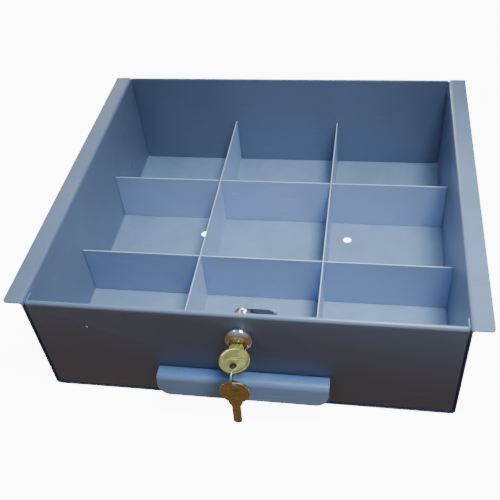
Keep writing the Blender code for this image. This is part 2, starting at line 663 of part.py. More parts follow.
def make_lock_plug(finish):
    """The turning core: head, round body, square tail, keyway, wafer slots and screw hole."""
    tail_end = stack()[2] - 2 * GAP
    face = BEZEL_HEIGHT - PLUG_RECESS
    under = face - PLUG_HEAD_HEIGHT
    profile = [(0, face), (PLUG_HEAD_RADIUS - PLUG_EDGE, face),
               (PLUG_HEAD_RADIUS, face - PLUG_EDGE), (PLUG_HEAD_RADIUS, under),
               (PLUG_RADIUS, under), (PLUG_RADIUS, -BARREL_LENGTH),
               (TAIL_HALF * 1.3, -BARREL_LENGTH), (TAIL_HALF * 1.3, -tail_end), (0, -tail_end)]
    plug = turned("lock_plug", profile, LOCK_POINT, steps=32, ring=False)
    waste = plate("tail waste", [circle((0, 0), 2 * PLUG_RADIUS, 16),
                                 rectangle((-TAIL_HALF, -TAIL_HALF), (TAIL_HALF, TAIL_HALF))],
                  2 * (tail_end - BARREL_LENGTH + CUT_MARGIN) - 2 * GAP,
                  location=out_of_panel(-tail_end - CUT_MARGIN), rotation=LOCK_TURNED, cutter=True)
    combine(plug, waste, "DIFFERENCE")

    key_half = KEY_BLADE_HALF + KEYWAY_CLEARANCE
    key_side = KEY_THICKNESS / 2 + KEYWAY_CLEARANCE
    tip = KEY_LENGTH - KEY_BOW_RADIUS - KEY_BOW_TO_PANEL + KEYWAY_CLEARANCE
    keyway = box("keyway", LOCK_POINT + Vector((-key_half, -BEZEL_HEIGHT, -key_side)),
                 LOCK_POINT + Vector((key_half, tip, key_side)))
    combine(plug, keyway, "DIFFERENCE")
    wide = 2 * PLUG_RADIUS
    high = WAFER_HALF_WIDTH + WAFER_CLEARANCE
    pocket_top = LUG_TOP + WAFER_CLEARANCE
    pocket = (SPRING_END - WAFER_CLEARANCE, LUG_HIGH + WAFER_CLEARANCE)
    outline = [(-wide, -high), (wide, -high), (wide, high), (pocket[1], high),
               (pocket[1], pocket_top), (pocket[0], pocket_top), (pocket[0], high),
               (-wide, high)]
    for index, place in enumerate(wafer_places()):
        slot = plate(f"wafer slot {index}", [outline], WAFER_THICKNESS + 2 * WAFER_CLEARANCE,
                     location=out_of_panel(place), rotation=LOCK_TURNED, cutter=True)
        combine(plug, slot, "DIFFERENCE")
    hole = cylinder("cam screw hole", SCREW_RADIUS + LOCK_CLEARANCE, 2 * SCREW_LENGTH,
                    out_of_panel(-tail_end), rotation=LOCK_TURNED, steps=20)
    combine(plug, hole, "DIFFERENCE")
    return paint(plug, finish)


def make_wafer(index, place, finish):
    """A flat slider with a window for the key and a lug for its spring."""
    reach = PLUG_RADIUS - WAFER_CLEARANCE
    high = WAFER_HALF_WIDTH
    angle = atan2(high, sqrt(reach ** 2 - high ** 2))
    outline = (arc((0, 0), reach, -angle, angle, 5)
               + [(LUG_HIGH, high), (LUG_HIGH, LUG_TOP), (LUG_LOW, LUG_TOP), (LUG_LOW, high)]
               + arc((0, 0), reach, HALF_TURN - angle, HALF_TURN + angle, 5))
    key_half = KEY_BLADE_HALF + KEYWAY_CLEARANCE
    key_side = KEY_THICKNESS / 2 + KEYWAY_CLEARANCE
    window = rectangle((-key_half, -key_side), (key_half, key_side))
    wafer = plate(f"wafer_{index + 1}", [outline, window], WAFER_THICKNESS,
                  location=out_of_panel(place), rotation=LOCK_TURNED)
    return paint(wafer, finish)


def make_wafer_spring(index, place, finish):
    """A small coil spring lying beside its wafer, from its pocket's end to the wafer's lug."""
    steps = 8
    length = LUG_LOW - SPRING_END - 2 * WAFER_CLEARANCE - 2 * SPRING_WIRE_RADIUS
    start = SPRING_END + WAFER_CLEARANCE + SPRING_WIRE_RADIUS
    height = (WAFER_HALF_WIDTH + LUG_TOP) / 2
    curve = bpy.data.curves.new(f"wafer_spring_{index + 1}", "CURVE")
    curve.dimensions = "3D"
    curve.bevel_depth = SPRING_WIRE_RADIUS
    curve.bevel_resolution = 2
    curve.use_fill_caps = True
    spline = curve.splines.new("POLY")
    spline.points.add(SPRING_TURNS * steps)
    for step, point in enumerate(spline.points):
        angle = 2 * pi * step / steps
        along = start + length * step / (SPRING_TURNS * steps)
        point.co = (along, SPRING_COIL_RADIUS * cos(angle), SPRING_COIL_RADIUS * sin(angle), 1)
    spring = link(f"wafer_spring_{index + 1}", curve)
    spring.location = out_of_panel(place, up=height)
    return paint(spring, finish)


def make_stop_washer(finish):
    """A washer keyed to the plug's tail, with a tab that runs in the barrel's notch."""
    washer_at = stack()[0]
    half = TAIL_HALF + LOCK_CLEARANCE
    start = stop_tab_start()
    washer = plate("stop_washer", [circle((0, 0), STOP_WASHER_RADIUS, 32),
                                   rectangle((-half, -half), (half, half))],
                   STOP_WASHER_THICKNESS, rotation=LOCK_TURNED,
                   location=out_of_panel(-washer_at - STOP_WASHER_THICKNESS / 2))
    outer = STOP_WASHER_RADIUS
    inner = PLUG_RADIUS + LOCK_CLEARANCE
    sector = (arc((0, 0), outer, start, start + STOP_TAB_ANGLE, 4)
              + arc((0, 0), inner, start + STOP_TAB_ANGLE, start, 4))
    rise = STOP_DEPTH - GAP + STOP_WASHER_THICKNESS / 2
    tab = plate("stop tab", [sector], rise + GAP, rotation=LOCK_TURNED, cutter=True,
                location=out_of_panel(-washer_at - STOP_WASHER_THICKNESS / 2 + (rise + GAP) / 2))
    combine(washer, tab, "UNION")
    return paint(washer, finish)


def make_lock_cam(finish):
    """A steel arm with a square hole and a tip bent towards the front."""
    cam_at = stack()[1]
    height = -cam_at - CAM_THICKNESS / 2
    path = [(-CAM_HALF_WIDTH, height), (CAM_REACH - CAM_TIP, height),
            (CAM_REACH, height + CAM_TIP_RISE)]
    section = bent_sheet(path, [2 * CAM_THICKNESS], thickness=CAM_THICKNESS)
    cam = plate("lock_cam", [section], 2 * CAM_HALF_WIDTH, location=LOCK_POINT,
                rotation=(HALF_TURN, 0, 0))
    corner = 0.4 * CAM_HALF_WIDTH
    across, up = CAM_REACH - corner, CAM_HALF_WIDTH - corner
    outline = (arc((0, 0), CAM_HALF_WIDTH, QUARTER_TURN, HALF_TURN + QUARTER_TURN, 10)
               + arc((across, -up), corner, -QUARTER_TURN, 0, 4)
               + arc((across, up), corner, 0, QUARTER_TURN, 4))
    kept = plate("cam edge", [outline], 2 * BARREL_LENGTH,
                 location=out_of_panel(-cam_at), rotation=LOCK_TURNED, cutter=True)
    combine(cam, kept, "INTERSECT")
    half = TAIL_HALF + LOCK_CLEARANCE
    hole = plate("cam hole", [rectangle((-half, -half), (half, half))], 4 * CAM_THICKNESS,
                 location=out_of_panel(-cam_at - CAM_THICKNESS / 2), rotation=LOCK_TURNED,
                 cutter=True)
    combine(cam, hole, "DIFFERENCE")
    return paint(cam, finish)


def make_cam_washer(finish):
    """A split spring washer under the screw's head."""
    spring_at = stack()[2]
    inner = SCREW_RADIUS + LOCK_CLEARANCE
    start, end = WASHER_SPLIT / 2, 2 * pi - WASHER_SPLIT / 2
    outline = (arc((0, 0), CAM_WASHER_RADIUS, start, end, 24)
               + arc((0, 0), inner, end, start, 24))
    washer = plate("cam_washer", [outline], CAM_WASHER_THICKNESS, rotation=LOCK_TURNED,
                   location=out_of_panel(-spring_at - CAM_WASHER_THICKNESS / 2))
    return paint(washer, finish)


def make_cam_screw(finish):
    """A pan-head screw with a straight driver slot."""
    head_at = stack()[3]
    top = -head_at
    profile = [(0, top + SCREW_LENGTH), (SCREW_RADIUS, top + SCREW_LENGTH), (SCREW_RADIUS, top),
               (SCREW_HEAD_RADIUS, top), (SCREW_HEAD_RADIUS, top - 0.45 * SCREW_HEAD_HEIGHT),
               (0.75 * SCREW_HEAD_RADIUS, top - 0.9 * SCREW_HEAD_HEIGHT),
               (0.4 * SCREW_HEAD_RADIUS, top - SCREW_HEAD_HEIGHT), (0, top - SCREW_HEAD_HEIGHT)]
    screw = turned("cam_screw", profile, LOCK_POINT, steps=24, ring=False)
    half = DRIVER_SLOT_WIDTH / 2
    slot = box("driver slot",
               LOCK_POINT + Vector((-half, head_at + 0.5 * SCREW_HEAD_HEIGHT,
                                    -2 * SCREW_HEAD_RADIUS)),
               LOCK_POINT + Vector((half, head_at + 2 * SCREW_HEAD_HEIGHT,
                                    2 * SCREW_HEAD_RADIUS)))
    combine(screw, slot, "DIFFERENCE")
    return paint(screw, finish)


# ---------------------------------------------------------------- the keys
def key_outline():
    """Edge of a key, its bow's middle at zero and its tip towards +Y."""
    tip = KEY_LENGTH - KEY_BOW_RADIUS
    neck = atan2(KEY_NECK_HALF, sqrt(KEY_BOW_RADIUS ** 2 - KEY_NECK_HALF ** 2))
    shoulder = KEY_BOW_RADIUS + KEY_NECK_LENGTH
    right = [(KEY_NECK_HALF, shoulder), (KEY_BLADE_HALF, shoulder + KEY_SHOULDER_LENGTH)]
    first = shoulder + KEY_UNCUT
    pitch = (tip - KEY_TIP_LENGTH - first) / len(KEY_CUTS)
    for index, depth in enumerate(KEY_CUTS):
        middle = first + pitch * index
        right += [(KEY_BLADE_HALF, middle - 0.3 * pitch), (KEY_BLADE_HALF - depth, middle),
                  (KEY_BLADE_HALF, middle + 0.3 * pitch)]
    right += [(KEY_BLADE_HALF, tip - KEY_TIP_LENGTH), (0.3 * KEY_BLADE_HALF, tip)]
    left = [(-across, along) for across, along in reversed(right)]
    bow = arc((0, 0), KEY_BOW_RADIUS, QUARTER_TURN + neck, QUARTER_TURN - neck + 2 * pi, 36)
    return right + left + bow


def make_key(name, finish, origin_shift):
    """A flat key with a round bow and a ring hole; its origin is moved along it by a shift."""
    shifted = [[(across, along - origin_shift) for across, along in outline]
               for outline in (key_outline(),
                               circle((0, -KEY_HOLE_OFFSET), KEY_HOLE_RADIUS, 20))]
    key = plate(name, shifted, KEY_THICKNESS)
    return paint(key, finish)


def ring_centre():
    hole = KEY_BOW_TO_PANEL + KEY_HOLE_OFFSET
    return out_of_panel(hole + RING_FORWARD, up=-RING_DROP)


def spare_key_pivot():
    """The point on the ring's wire where the second key hangs."""
    down = Vector((0, -sin(SPARE_KEY_TILT), -cos(SPARE_KEY_TILT)))
    return ring_centre() + RING_RADIUS * down


def make_key_ring(finish):
    """A small ring through both keys' holes, upright and square to the front panel."""
    curve = bpy.data.curves.new("key_ring", "CURVE")
    curve.dimensions = "3D"
    curve.bevel_depth = RING_WIRE_RADIUS
    curve.bevel_resolution = 2
    spline = curve.splines.new("POLY")
    steps = 36
    spline.points.add(steps - 1)
    centre = ring_centre()
    hinge = ring_hinge()
    for step, point in enumerate(spline.points):
        angle = 2 * pi * step / steps
        point.co = (*(centre - hinge + RING_RADIUS * Vector((0, cos(angle), sin(angle)))), 1)
    spline.use_cyclic_u = True
    ring = link("key_ring", curve)
    ring.location = hinge
    return paint(ring, finish)


def ring_hinge():
    """The middle of the strip between the first key's hole and its bow's edge."""
    strip = KEY_BOW_TO_PANEL + (KEY_HOLE_OFFSET + KEY_HOLE_RADIUS + KEY_BOW_RADIUS) / 2
    return out_of_panel(strip)


# ---------------------------------------------------------------- the whole drawer
def main():
    start_scene()
    blue_grey = make_material("blue_grey_paint", (0.19, 0.25, 0.34), 0.0, 0.42)
    chrome = make_material("chrome", (0.72, 0.72, 0.73), 1.0, 0.12)
    zinc = make_material("zinc_plated_steel", (0.55, 0.56, 0.58), 1.0, 0.35)
    brass = make_material("brass", (0.62, 0.46, 0.20), 1.0, 0.30)
    nickel_brass = make_material("nickel_brass", (0.58, 0.55, 0.38), 1.0, 0.32)
    old_brass = make_material("old_brass", (0.42, 0.27, 0.08), 1.0, 0.38)
    spring_steel = make_material("spring_steel", (0.50, 0.50, 0.52), 1.0, 0.30)

    make_tray_wrap(blue_grey)
    make_front_panel(blue_grey)
    make_back_panel(blue_grey)
    make_pull_handle(blue_grey)
    for word, place in zip(("left", "middle", "right"), rivet_places()):
        make_rivet(f"pull_rivet_{word}", place, zinc)

    make_row_divider("row_divider_front", ROW_FRONT_Y, blue_grey)
    make_row_divider("row_divider_rear", ROW_REAR_Y, blue_grey)
    make_column_divider("column_divider_left", -COLUMN_X, blue_grey)
    make_column_divider("column_divider_right", COLUMN_X, blue_grey)

    make_lock_barrel(chrome)
    make_lock_washer(zinc)
    make_lock_nut(zinc)

    turning = axis_empty("lock axis", LOCK_POINT)
    turning_pieces = [make_lock_plug(brass), make_stop_washer(zinc), make_lock_cam(zinc),
                      make_cam_washer(spring_steel), make_cam_screw(zinc)]
    for index, place in enumerate(wafer_places()):
        turning_pieces.append(make_wafer(index, place, brass))
        turning_pieces.append(make_wafer_spring(index, place, spring_steel))
    for piece in turning_pieces:
        hold(piece, turning)

    key = make_key("key_in_lock", nickel_brass, 0.0)
    key.location = out_of_panel(KEY_BOW_TO_PANEL)
    hold(key, turning)
    ring = make_key_ring(spring_steel)
    hold(ring, key)
    wire_seat = -KEY_HOLE_OFFSET - KEY_HOLE_RADIUS + RING_WIRE_RADIUS + GAP
    spare = make_key("spare_key", old_brass, wire_seat)
    spare.location = spare_key_pivot()
    spare.rotation_euler = (-(QUARTER_TURN + SPARE_KEY_TILT), 0, 0)
    hold(spare, ring)


main()
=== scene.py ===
"""Finished look of a sheet-steel cash drawer: powder coat, plated lock, keys and a studio."""
import json

import bmesh
import bpy
import numpy as np
from bpy.props import FloatProperty, FloatVectorProperty, IntProperty, PointerProperty
from bpy.types import Operator, Panel, PropertyGroup
from mathutils import Matrix, Vector

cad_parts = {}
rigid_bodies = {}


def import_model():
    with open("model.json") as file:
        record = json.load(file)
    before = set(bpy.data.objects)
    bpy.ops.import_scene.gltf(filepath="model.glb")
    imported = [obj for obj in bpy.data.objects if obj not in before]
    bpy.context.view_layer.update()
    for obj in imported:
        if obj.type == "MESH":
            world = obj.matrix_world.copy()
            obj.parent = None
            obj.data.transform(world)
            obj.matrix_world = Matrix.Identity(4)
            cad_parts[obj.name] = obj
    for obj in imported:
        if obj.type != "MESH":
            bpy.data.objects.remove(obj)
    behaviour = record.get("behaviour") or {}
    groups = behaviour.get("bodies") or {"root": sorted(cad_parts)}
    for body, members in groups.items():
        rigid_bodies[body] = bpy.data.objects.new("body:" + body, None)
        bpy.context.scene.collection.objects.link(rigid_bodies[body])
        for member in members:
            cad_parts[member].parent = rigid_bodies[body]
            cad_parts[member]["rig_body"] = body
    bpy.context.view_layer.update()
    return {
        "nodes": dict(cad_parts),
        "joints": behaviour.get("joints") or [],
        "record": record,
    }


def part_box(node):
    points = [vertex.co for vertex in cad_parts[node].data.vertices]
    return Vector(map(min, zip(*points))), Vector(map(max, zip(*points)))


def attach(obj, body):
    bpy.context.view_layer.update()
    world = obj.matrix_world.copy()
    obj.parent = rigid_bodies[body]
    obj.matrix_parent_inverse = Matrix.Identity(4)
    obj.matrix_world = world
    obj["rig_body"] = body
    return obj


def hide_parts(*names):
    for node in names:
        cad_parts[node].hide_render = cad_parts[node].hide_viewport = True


bl_info = {
    "name": "Cash Drawer Finisher",
    "version": (1, 0, 0),
    "blender": (4, 5, 0),
    "location": "View3D > Sidebar > Cash Drawer",
    "description": "Builds the detailed surfaces, finishes and studio of a cash drawer",
    "category": "Object",
}

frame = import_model()
JOINTS = {joint["name"]: joint for joint in frame["joints"]}

MM = 0.001
TURN = 2 * np.pi
BODY_SHEETS = ("tray_wrap", "front_panel", "back_panel")
GRID_SHEETS = ("row_divider_front", "row_divider_rear", "column_divider_left",
               "column_divider_right")
WAFERS = tuple(f"wafer_{number}" for number in range(1, 6))
SPRINGS = tuple(f"wafer_spring_{number}" for number in range(1, 6))
RIVETS = ("pull_rivet_left", "pull_rivet_middle", "pull_rivet_right")
PRESSINGS = ("lock_plug", "lock_cam", "stop_washer", "cam_washer", "cam_screw", "lock_washer",
             *WAFERS)
KEY_CUTS = np.array([0.4, 0.8, 0.3, 0.6, 0.5]) * MM    # depths, bow to tip


# ---------------------------------------------------------------- settings
def size(name, description, millimetres):
    """A length that a user may change, kept in metres."""
    return FloatProperty(name=name, description=description, default=millimetres * MM,
                         unit="LENGTH")


def tint(name, description, colour):
    """A colour that a user may change."""
    return FloatVectorProperty(name=name, description=description, subtype="COLOR", size=3,
                               min=0, max=1, default=colour)


class PaintSettings(PropertyGroup):
    """Powder coat on the sheet steel."""
    colour: tint("Paint colour", "Blue-grey powder coat", (0.148, 0.188, 0.296))
    # Edge colour: paint thinned over edges, lightened as a painted highlight where sheet edges
    # catch the light.
    edge_wear_and_highlight_colour: tint("Edge colour", "Paint thinned over edges", (0.235, 0.310, 0.420))
    # Pull colour: the body's paint made a little lighter, as painted light on the pull's lip.
    pull_painted_light_colour: tint("Pull colour", "Bluer coat on the pull", (0.155, 0.203, 0.325))
    # Painted shade: a darker, bluer colour on the pull's level top, which the panel shades.
    shaded_top_colour: tint("Handled colour", "Top of the pull, polished by hands",
                         (0.072, 0.146, 0.350))
    grid_colour: tint("Grid colour", "Lighter coat on dividers", (0.343, 0.430, 0.669))
    # Painted highlight: a pale colour on the dividers' level tops, for the light that they catch.
    highlit_top_colour: tint("Rubbed colour", "Divider tops rubbed by hands and coins",
                        (0.62, 0.70, 0.78))
    roughness: FloatProperty(name="Roughness", description="Sheen of the coat", default=0.40,
                             min=0, max=1)
    edge_round: size("Edge rounding", "Softened sheet edge", 0.28)


class LockSettings(PropertyGroup):
    """Cam lock."""
    thread_pitch: size("Thread pitch", "Barrel and nut thread", 1.0)
    thread_depth: size("Thread depth", "Depth of the barrel's thread", 0.35)
    barrel_radius: size("Barrel radius", "Over the thread's crests", 9.5)
    barrel_flat: size("Barrel flat", "From the axis to each flat", 8.0)
    bore_radius: size("Bore radius", "Clear of the plug", 6.55)
    plug_seat_radius: size("Seat radius", "Clear of the plug's head", 7.2)
    plug_seat_depth: size("Seat depth", "From the head's face", 3.0)
    seat_gap: size("Seat gap", "Between the head and the panel", 0.3)
    stop_tab_angle: FloatProperty(name="Stop tab", description="Angle that the tab spans",
                                  default=0.50, subtype="ANGLE", unit="ROTATION")
    stop_clearance: FloatProperty(name="Stop clearance", description="At each end of the turn",
                                  default=0.04, subtype="ANGLE", unit="ROTATION")
    stop_depth: size("Stop depth", "Depth of the barrel's notch", 1.8)
    rivet_radius: size("Rivet radius", "Shank of the pull's rivets", 2.0)
    chrome_colour: tint("Chrome", "Plated head", (0.78, 0.78, 0.80))


class PullSettings(PropertyGroup):
    """Formed pull."""
    sheet: size("Sheet", "Thickness", 1.2)
    flange: size("Flange", "Height against the panel", 16.5)
    lip_drop: size("Lip drop", "Height of the lip", 16.5)
    flare: size("Flare", "How far the lip leans out", 6.0)
    flange_bend: size("Flange bend", "Radius of its middle line", 2.2)
    lip_bend: size("Lip bend", "Radius of its middle line", 4.8)
    corner: size("Corner", "Radius of the lip's lower corners", 11.0)
    rivet_hole: size("Rivet hole", "Radius", 2.3)
    edge_round: size("Edge rounding", "Softened sheet edge", 0.35)


class KeySettings(PropertyGroup):
    """Keys and ring."""
    rim: size("Bow rim", "Width of the raised rim round a key's bow", 1.3)
    recess: size("Bow recess", "Depth of the bow's sunk face", 0.16)
    ring_turns: IntProperty(name="Ring turns", description="Turns of the split ring", default=2)
    neck_length: size("Neck length", "Straight part past the bow", 0.8)
    shoulder_length: size("Shoulder", "Taper from neck to blade", 3.2)
    neck_half: size("Neck half width", "Half of the neck's width", 5.8)
    blade_half: size("Blade half width", "Half of the blade's width", 3.7)
    uncut: size("Uncut run", "From the neck to the first cut", 6.6)
    tip_length: size("Tip", "Length of the blunt tip", 2.2)
    length: size("Length", "From end to end", 50.0)
    hole_radius: size("Ring hole", "Radius", 2.85)
    hole_offset: size("Hole offset", "From the bow's middle", 5.5)
    edge_round: size("Edge rounding", "Softened edge", 0.22)
    groove: size("Groove", "Depth of the blade's milled groove", 0.40)


class StageSettings(PropertyGroup):
    """Floor, light and camera."""
    floor_colour: tint("Floor", "Plain pale floor", (0.86, 0.86, 0.87))
    floor_size: FloatProperty(name="Floor size", description="Side of the square floor",
                              default=9.0, unit="LENGTH")
    lens: FloatProperty(name="Lens", description="Focal length in millimetres", default=50.8)


# ---------------------------------------------------------------- meshes from arrays
def put_mesh(name, points, *polygons):
    """Object from an (n, 3) array of points and arrays of polygons of equal corner counts."""
    mesh = bpy.data.meshes.new(name)
    corners = np.concatenate([polygon.ravel() for polygon in polygons])
    totals = np.concatenate([np.full(len(polygon), polygon.shape[1]) for polygon in polygons])
    mesh.vertices.add(len(points))
    mesh.vertices.foreach_set("co", np.asarray(points, np.float32).ravel())
    mesh.loops.add(len(corners))
    mesh.loops.foreach_set("vertex_index", corners.astype(np.int32))
    mesh.polygons.add(len(totals))
    mesh.polygons.foreach_set("loop_start", (np.cumsum(totals) - totals).astype(np.int32))
    mesh.polygons.foreach_set("loop_total", totals.astype(np.int32))
    mesh.update(calc_edges=True)
    mesh.validate()
    return put_object(name, mesh)


def put_object(name, data):
    """An object with the given data, in the scene."""
    thing = bpy.data.objects.new(name, data)
    bpy.context.scene.collection.objects.link(thing)
    return thing


def shade(piece, angle=0.7):
    """Smooth a piece, with edges sharper than the angle kept crisp."""
    piece.data.shade_smooth()
    piece.data.set_sharp_from_angle(angle=angle)
    return piece


def volume_of(points, quads):
    """Six times the signed volume of a closed quad mesh: a sum of corner determinants."""
    a, b, c, d = (points[quads[:, corner]] for corner in range(4))
    return (np.einsum("ij,ij->i", a, np.cross(b, c))
            + np.einsum("ij,ij->i", a, np.cross(c, d))).sum()


def skin(rings, closed_along=False):
    """Closed surface through rings of shape (rings, around, 3).

    Each ring is closed on itself. Neighbouring rings are joined by quads, and the first ring is
    joined to the last, or each end is closed by a fan about its middle point.
    """
    rings = np.asarray(rings, float)
    count, around = rings.shape[:2]
    points = rings.reshape(-1, 3)
    here = np.arange(count if closed_along else count - 1)[:, None]
    along = (here + 1) % count
    side = np.arange(around)[None, :]
    beside = (side + 1) % around
    quads = np.stack([here * around + side, along * around + side,
                      along * around + beside, here * around + beside], -1).reshape(-1, 4)
    fans = []
    if not closed_along:
        middles = rings[[0, -1]].mean(1)
        first, last = len(points), len(points) + 1
        points = np.vstack([points, middles])
        edge = np.arange(around)
        after = (edge + 1) % around
        base = (count - 1) * around
        fans = [np.stack([edge, after, np.full(around, first)], -1),
                np.stack([base + after, base + edge, np.full(around, last)], -1)]
    if volume_of(points - points.mean(0), quads) < 0:
        quads = quads[:, ::-1]
        fans = [fan[:, ::-1] for fan in fans]
    return points, [quads, *fans]


def put_skin(name, rings, closed_along=False):
    points, faces = skin(rings, closed_along)
    return put_mesh(name, points, *faces)


def turned_rings(profile, steps, centre, shape=None):
    """Rings of a turned piece about the lock's axis, which points out of the front.

    A profile point (r, out) becomes (cx + r cos a, cy - out, cz + r sin a). The optional shape
    function changes (r, a, out) into the offsets (across, up), for flats and threads.
    """
    profile = np.asarray(profile, float)
    angle = np.linspace(0, TURN, steps, endpoint=False)
    radius, out = profile[:, :1], profile[:, 1:]
    across, up = radius * np.cos(angle), radius * np.sin(angle)
    if shape:
        across, up = shape(radius, angle[None, :], out)
    return np.stack([centre[0] + across, centre[1] - out + 0 * across, centre[2] + up], -1)


def arc_points(centre, radius, start, end, steps):
    """Points centre + radius (cos a, sin a) for a running from start to end."""
    angle = np.linspace(start, end, steps)
    return np.stack([centre[0] + radius * np.cos(angle), centre[1] + radius * np.sin(angle)], -1)


def bore_out(piece, rings):
    """Cut the closed surface through some rings out of a piece."""
    cutter = put_skin("drill", rings)
    add_modifier(piece, "BOOLEAN", object=cutter, operation="DIFFERENCE", solver="EXACT")
    settle_modifiers(piece)
    bpy.data.objects.remove(cutter, do_unlink=True)


def settle_modifiers(piece):
    """Write a piece's modifiers into its mesh."""
    bpy.context.view_layer.update()
    evaluated = piece.evaluated_get(bpy.context.evaluated_depsgraph_get())
    mesh = bpy.data.meshes.new_from_object(evaluated)
    piece.modifiers.clear()
    piece.data = mesh


def finish_piece(piece, node, finish=None, angle=0.7):
    """Shade and colour a piece standing for a CAD node, attach it to its body and hide the node.
    """
    shade(piece, angle)
    slot = slot_of(node)
    piece.data.materials.clear()
    piece.data.materials.append(FINISH[finish or slot])
    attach(piece, body_of(node))
    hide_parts(node)
    return piece


def add_modifier(piece, kind, **values):
    modifier = piece.modifiers.new(kind.title(), kind)
    for key, value in values.items():
        setattr(modifier, key, value)
    return modifier


def box_of(node):
    """A node's lowest and highest corners, as arrays."""
    return np.array(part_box(node)[0]), np.array(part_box(node)[1])


def body_of(node):
    return frame["nodes"][node]["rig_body"]


def slot_of(node):
    return next(entry["material_slot"] for entry in frame["record"]["subparts"]
                if entry["node"] == node)


# ---------------------------------------------------------------- finishes
class Nodes:
    """Short hand for building one material's node tree."""

    def __init__(self, name, colour, metallic=0.0, roughness=0.5):
        self.material = bpy.data.materials.new(name)
        self.material.use_nodes = True
        self.tree = self.material.node_tree
        self.shader = self.tree.nodes["Principled BSDF"]
        self.shader.inputs["Base Color"].default_value = (*colour, 1)
        self.shader.inputs["Metallic"].default_value = metallic
        self.shader.inputs["Roughness"].default_value = roughness
        self.place = self.tree.nodes.new("ShaderNodeTexCoord").outputs["Object"]

    def join(self, source, target):
        self.tree.links.new(source, target)

    def stretched(self, scale):
        """Object coordinates multiplied along each axis."""
        mapping = self.tree.nodes.new("ShaderNodeMapping")
        mapping.inputs["Scale"].default_value = scale
        self.join(self.place, mapping.inputs["Vector"])
        return mapping.outputs["Vector"]

    def noise(self, scale, detail=3.0, roughness=0.5, stretch=None):
        node = self.tree.nodes.new("ShaderNodeTexNoise")
        node.inputs["Scale"].default_value = scale
        node.inputs["Detail"].default_value = detail
        node.inputs["Roughness"].default_value = roughness
        self.join(self.stretched(stretch) if stretch else self.place, node.inputs["Vector"])
        return node.outputs["Fac"]

    def remap(self, value, low, high, to_low=0.0, to_high=1.0):
        node = self.tree.nodes.new("ShaderNodeMapRange")
        for socket, number in zip(("From Min", "From Max", "To Min", "To Max"),
                                  (low, high, to_low, to_high)):
            node.inputs[socket].default_value = number
        self.join(value, node.inputs["Value"])
        return node.outputs["Result"]

    def math(self, operation, first, second):
        node = self.tree.nodes.new("ShaderNodeMath")
        node.operation = operation
        for socket, value in zip(node.inputs, (first, second)):
            if isinstance(value, (int, float)):
                socket.default_value = value
            else:
                self.join(value, socket)
        return node.outputs["Value"]

    def mix(self, factor, first, second):
        node = self.tree.nodes.new("ShaderNodeMix")
        node.data_type = "RGBA"
        for socket, value in zip((node.inputs["Factor"], node.inputs["A"], node.inputs["B"]),
                                 (factor, first, second)):
            if isinstance(value, (tuple, list)):
                socket.default_value = (*value, 1)
            elif isinstance(value, (int, float)):
                socket.default_value = value
            else:
                self.join(value, socket)
        return node.outputs["Result"]

    def facing_up(self):
        """The surface normal's height, from -1 to 1."""
        geometry = self.tree.nodes.new("ShaderNodeNewGeometry")
        split = self.tree.nodes.new("ShaderNodeSeparateXYZ")
        self.join(geometry.outputs["Normal"], split.inputs["Vector"])
        return split.outputs["Z"]

    def height(self):
        """Height above the floor that the object stands on, in metres."""
        split = self.tree.nodes.new("ShaderNodeSeparateXYZ")
        self.join(self.place, split.inputs["Vector"])
        return split.outputs["Z"]

    def bump(self, *layers):
        """Stack bumps, each (height, distance in metres, strength)."""
        normal = None
        for height, distance, strength in layers:
            node = self.tree.nodes.new("ShaderNodeBump")
            node.inputs["Distance"].default_value = distance
            node.inputs["Strength"].default_value = strength
            self.join(height, node.inputs["Height"])
            if normal:
                self.join(normal, node.inputs["Normal"])
            normal = node.outputs["Normal"]
        self.join(normal, self.shader.inputs["Normal"])

    def colour(self, value):
        self.join(value, self.shader.inputs["Base Color"])

    def rough(self, value):
        self.join(value, self.shader.inputs["Roughness"])


def scratches(nodes, along, across, threshold):
    """Fine broken lines: noise stretched along one axis, cut off near its peaks."""
    lines = nodes.noise(1.0, 2.0, 0.6, stretch=across)
    breaks = nodes.noise(1.0, 2.0, 0.5, stretch=along)
    sharp = nodes.remap(lines, threshold, threshold + 0.03)
    return nodes.math("MULTIPLY", sharp, nodes.remap(breaks, 0.50, 0.62))


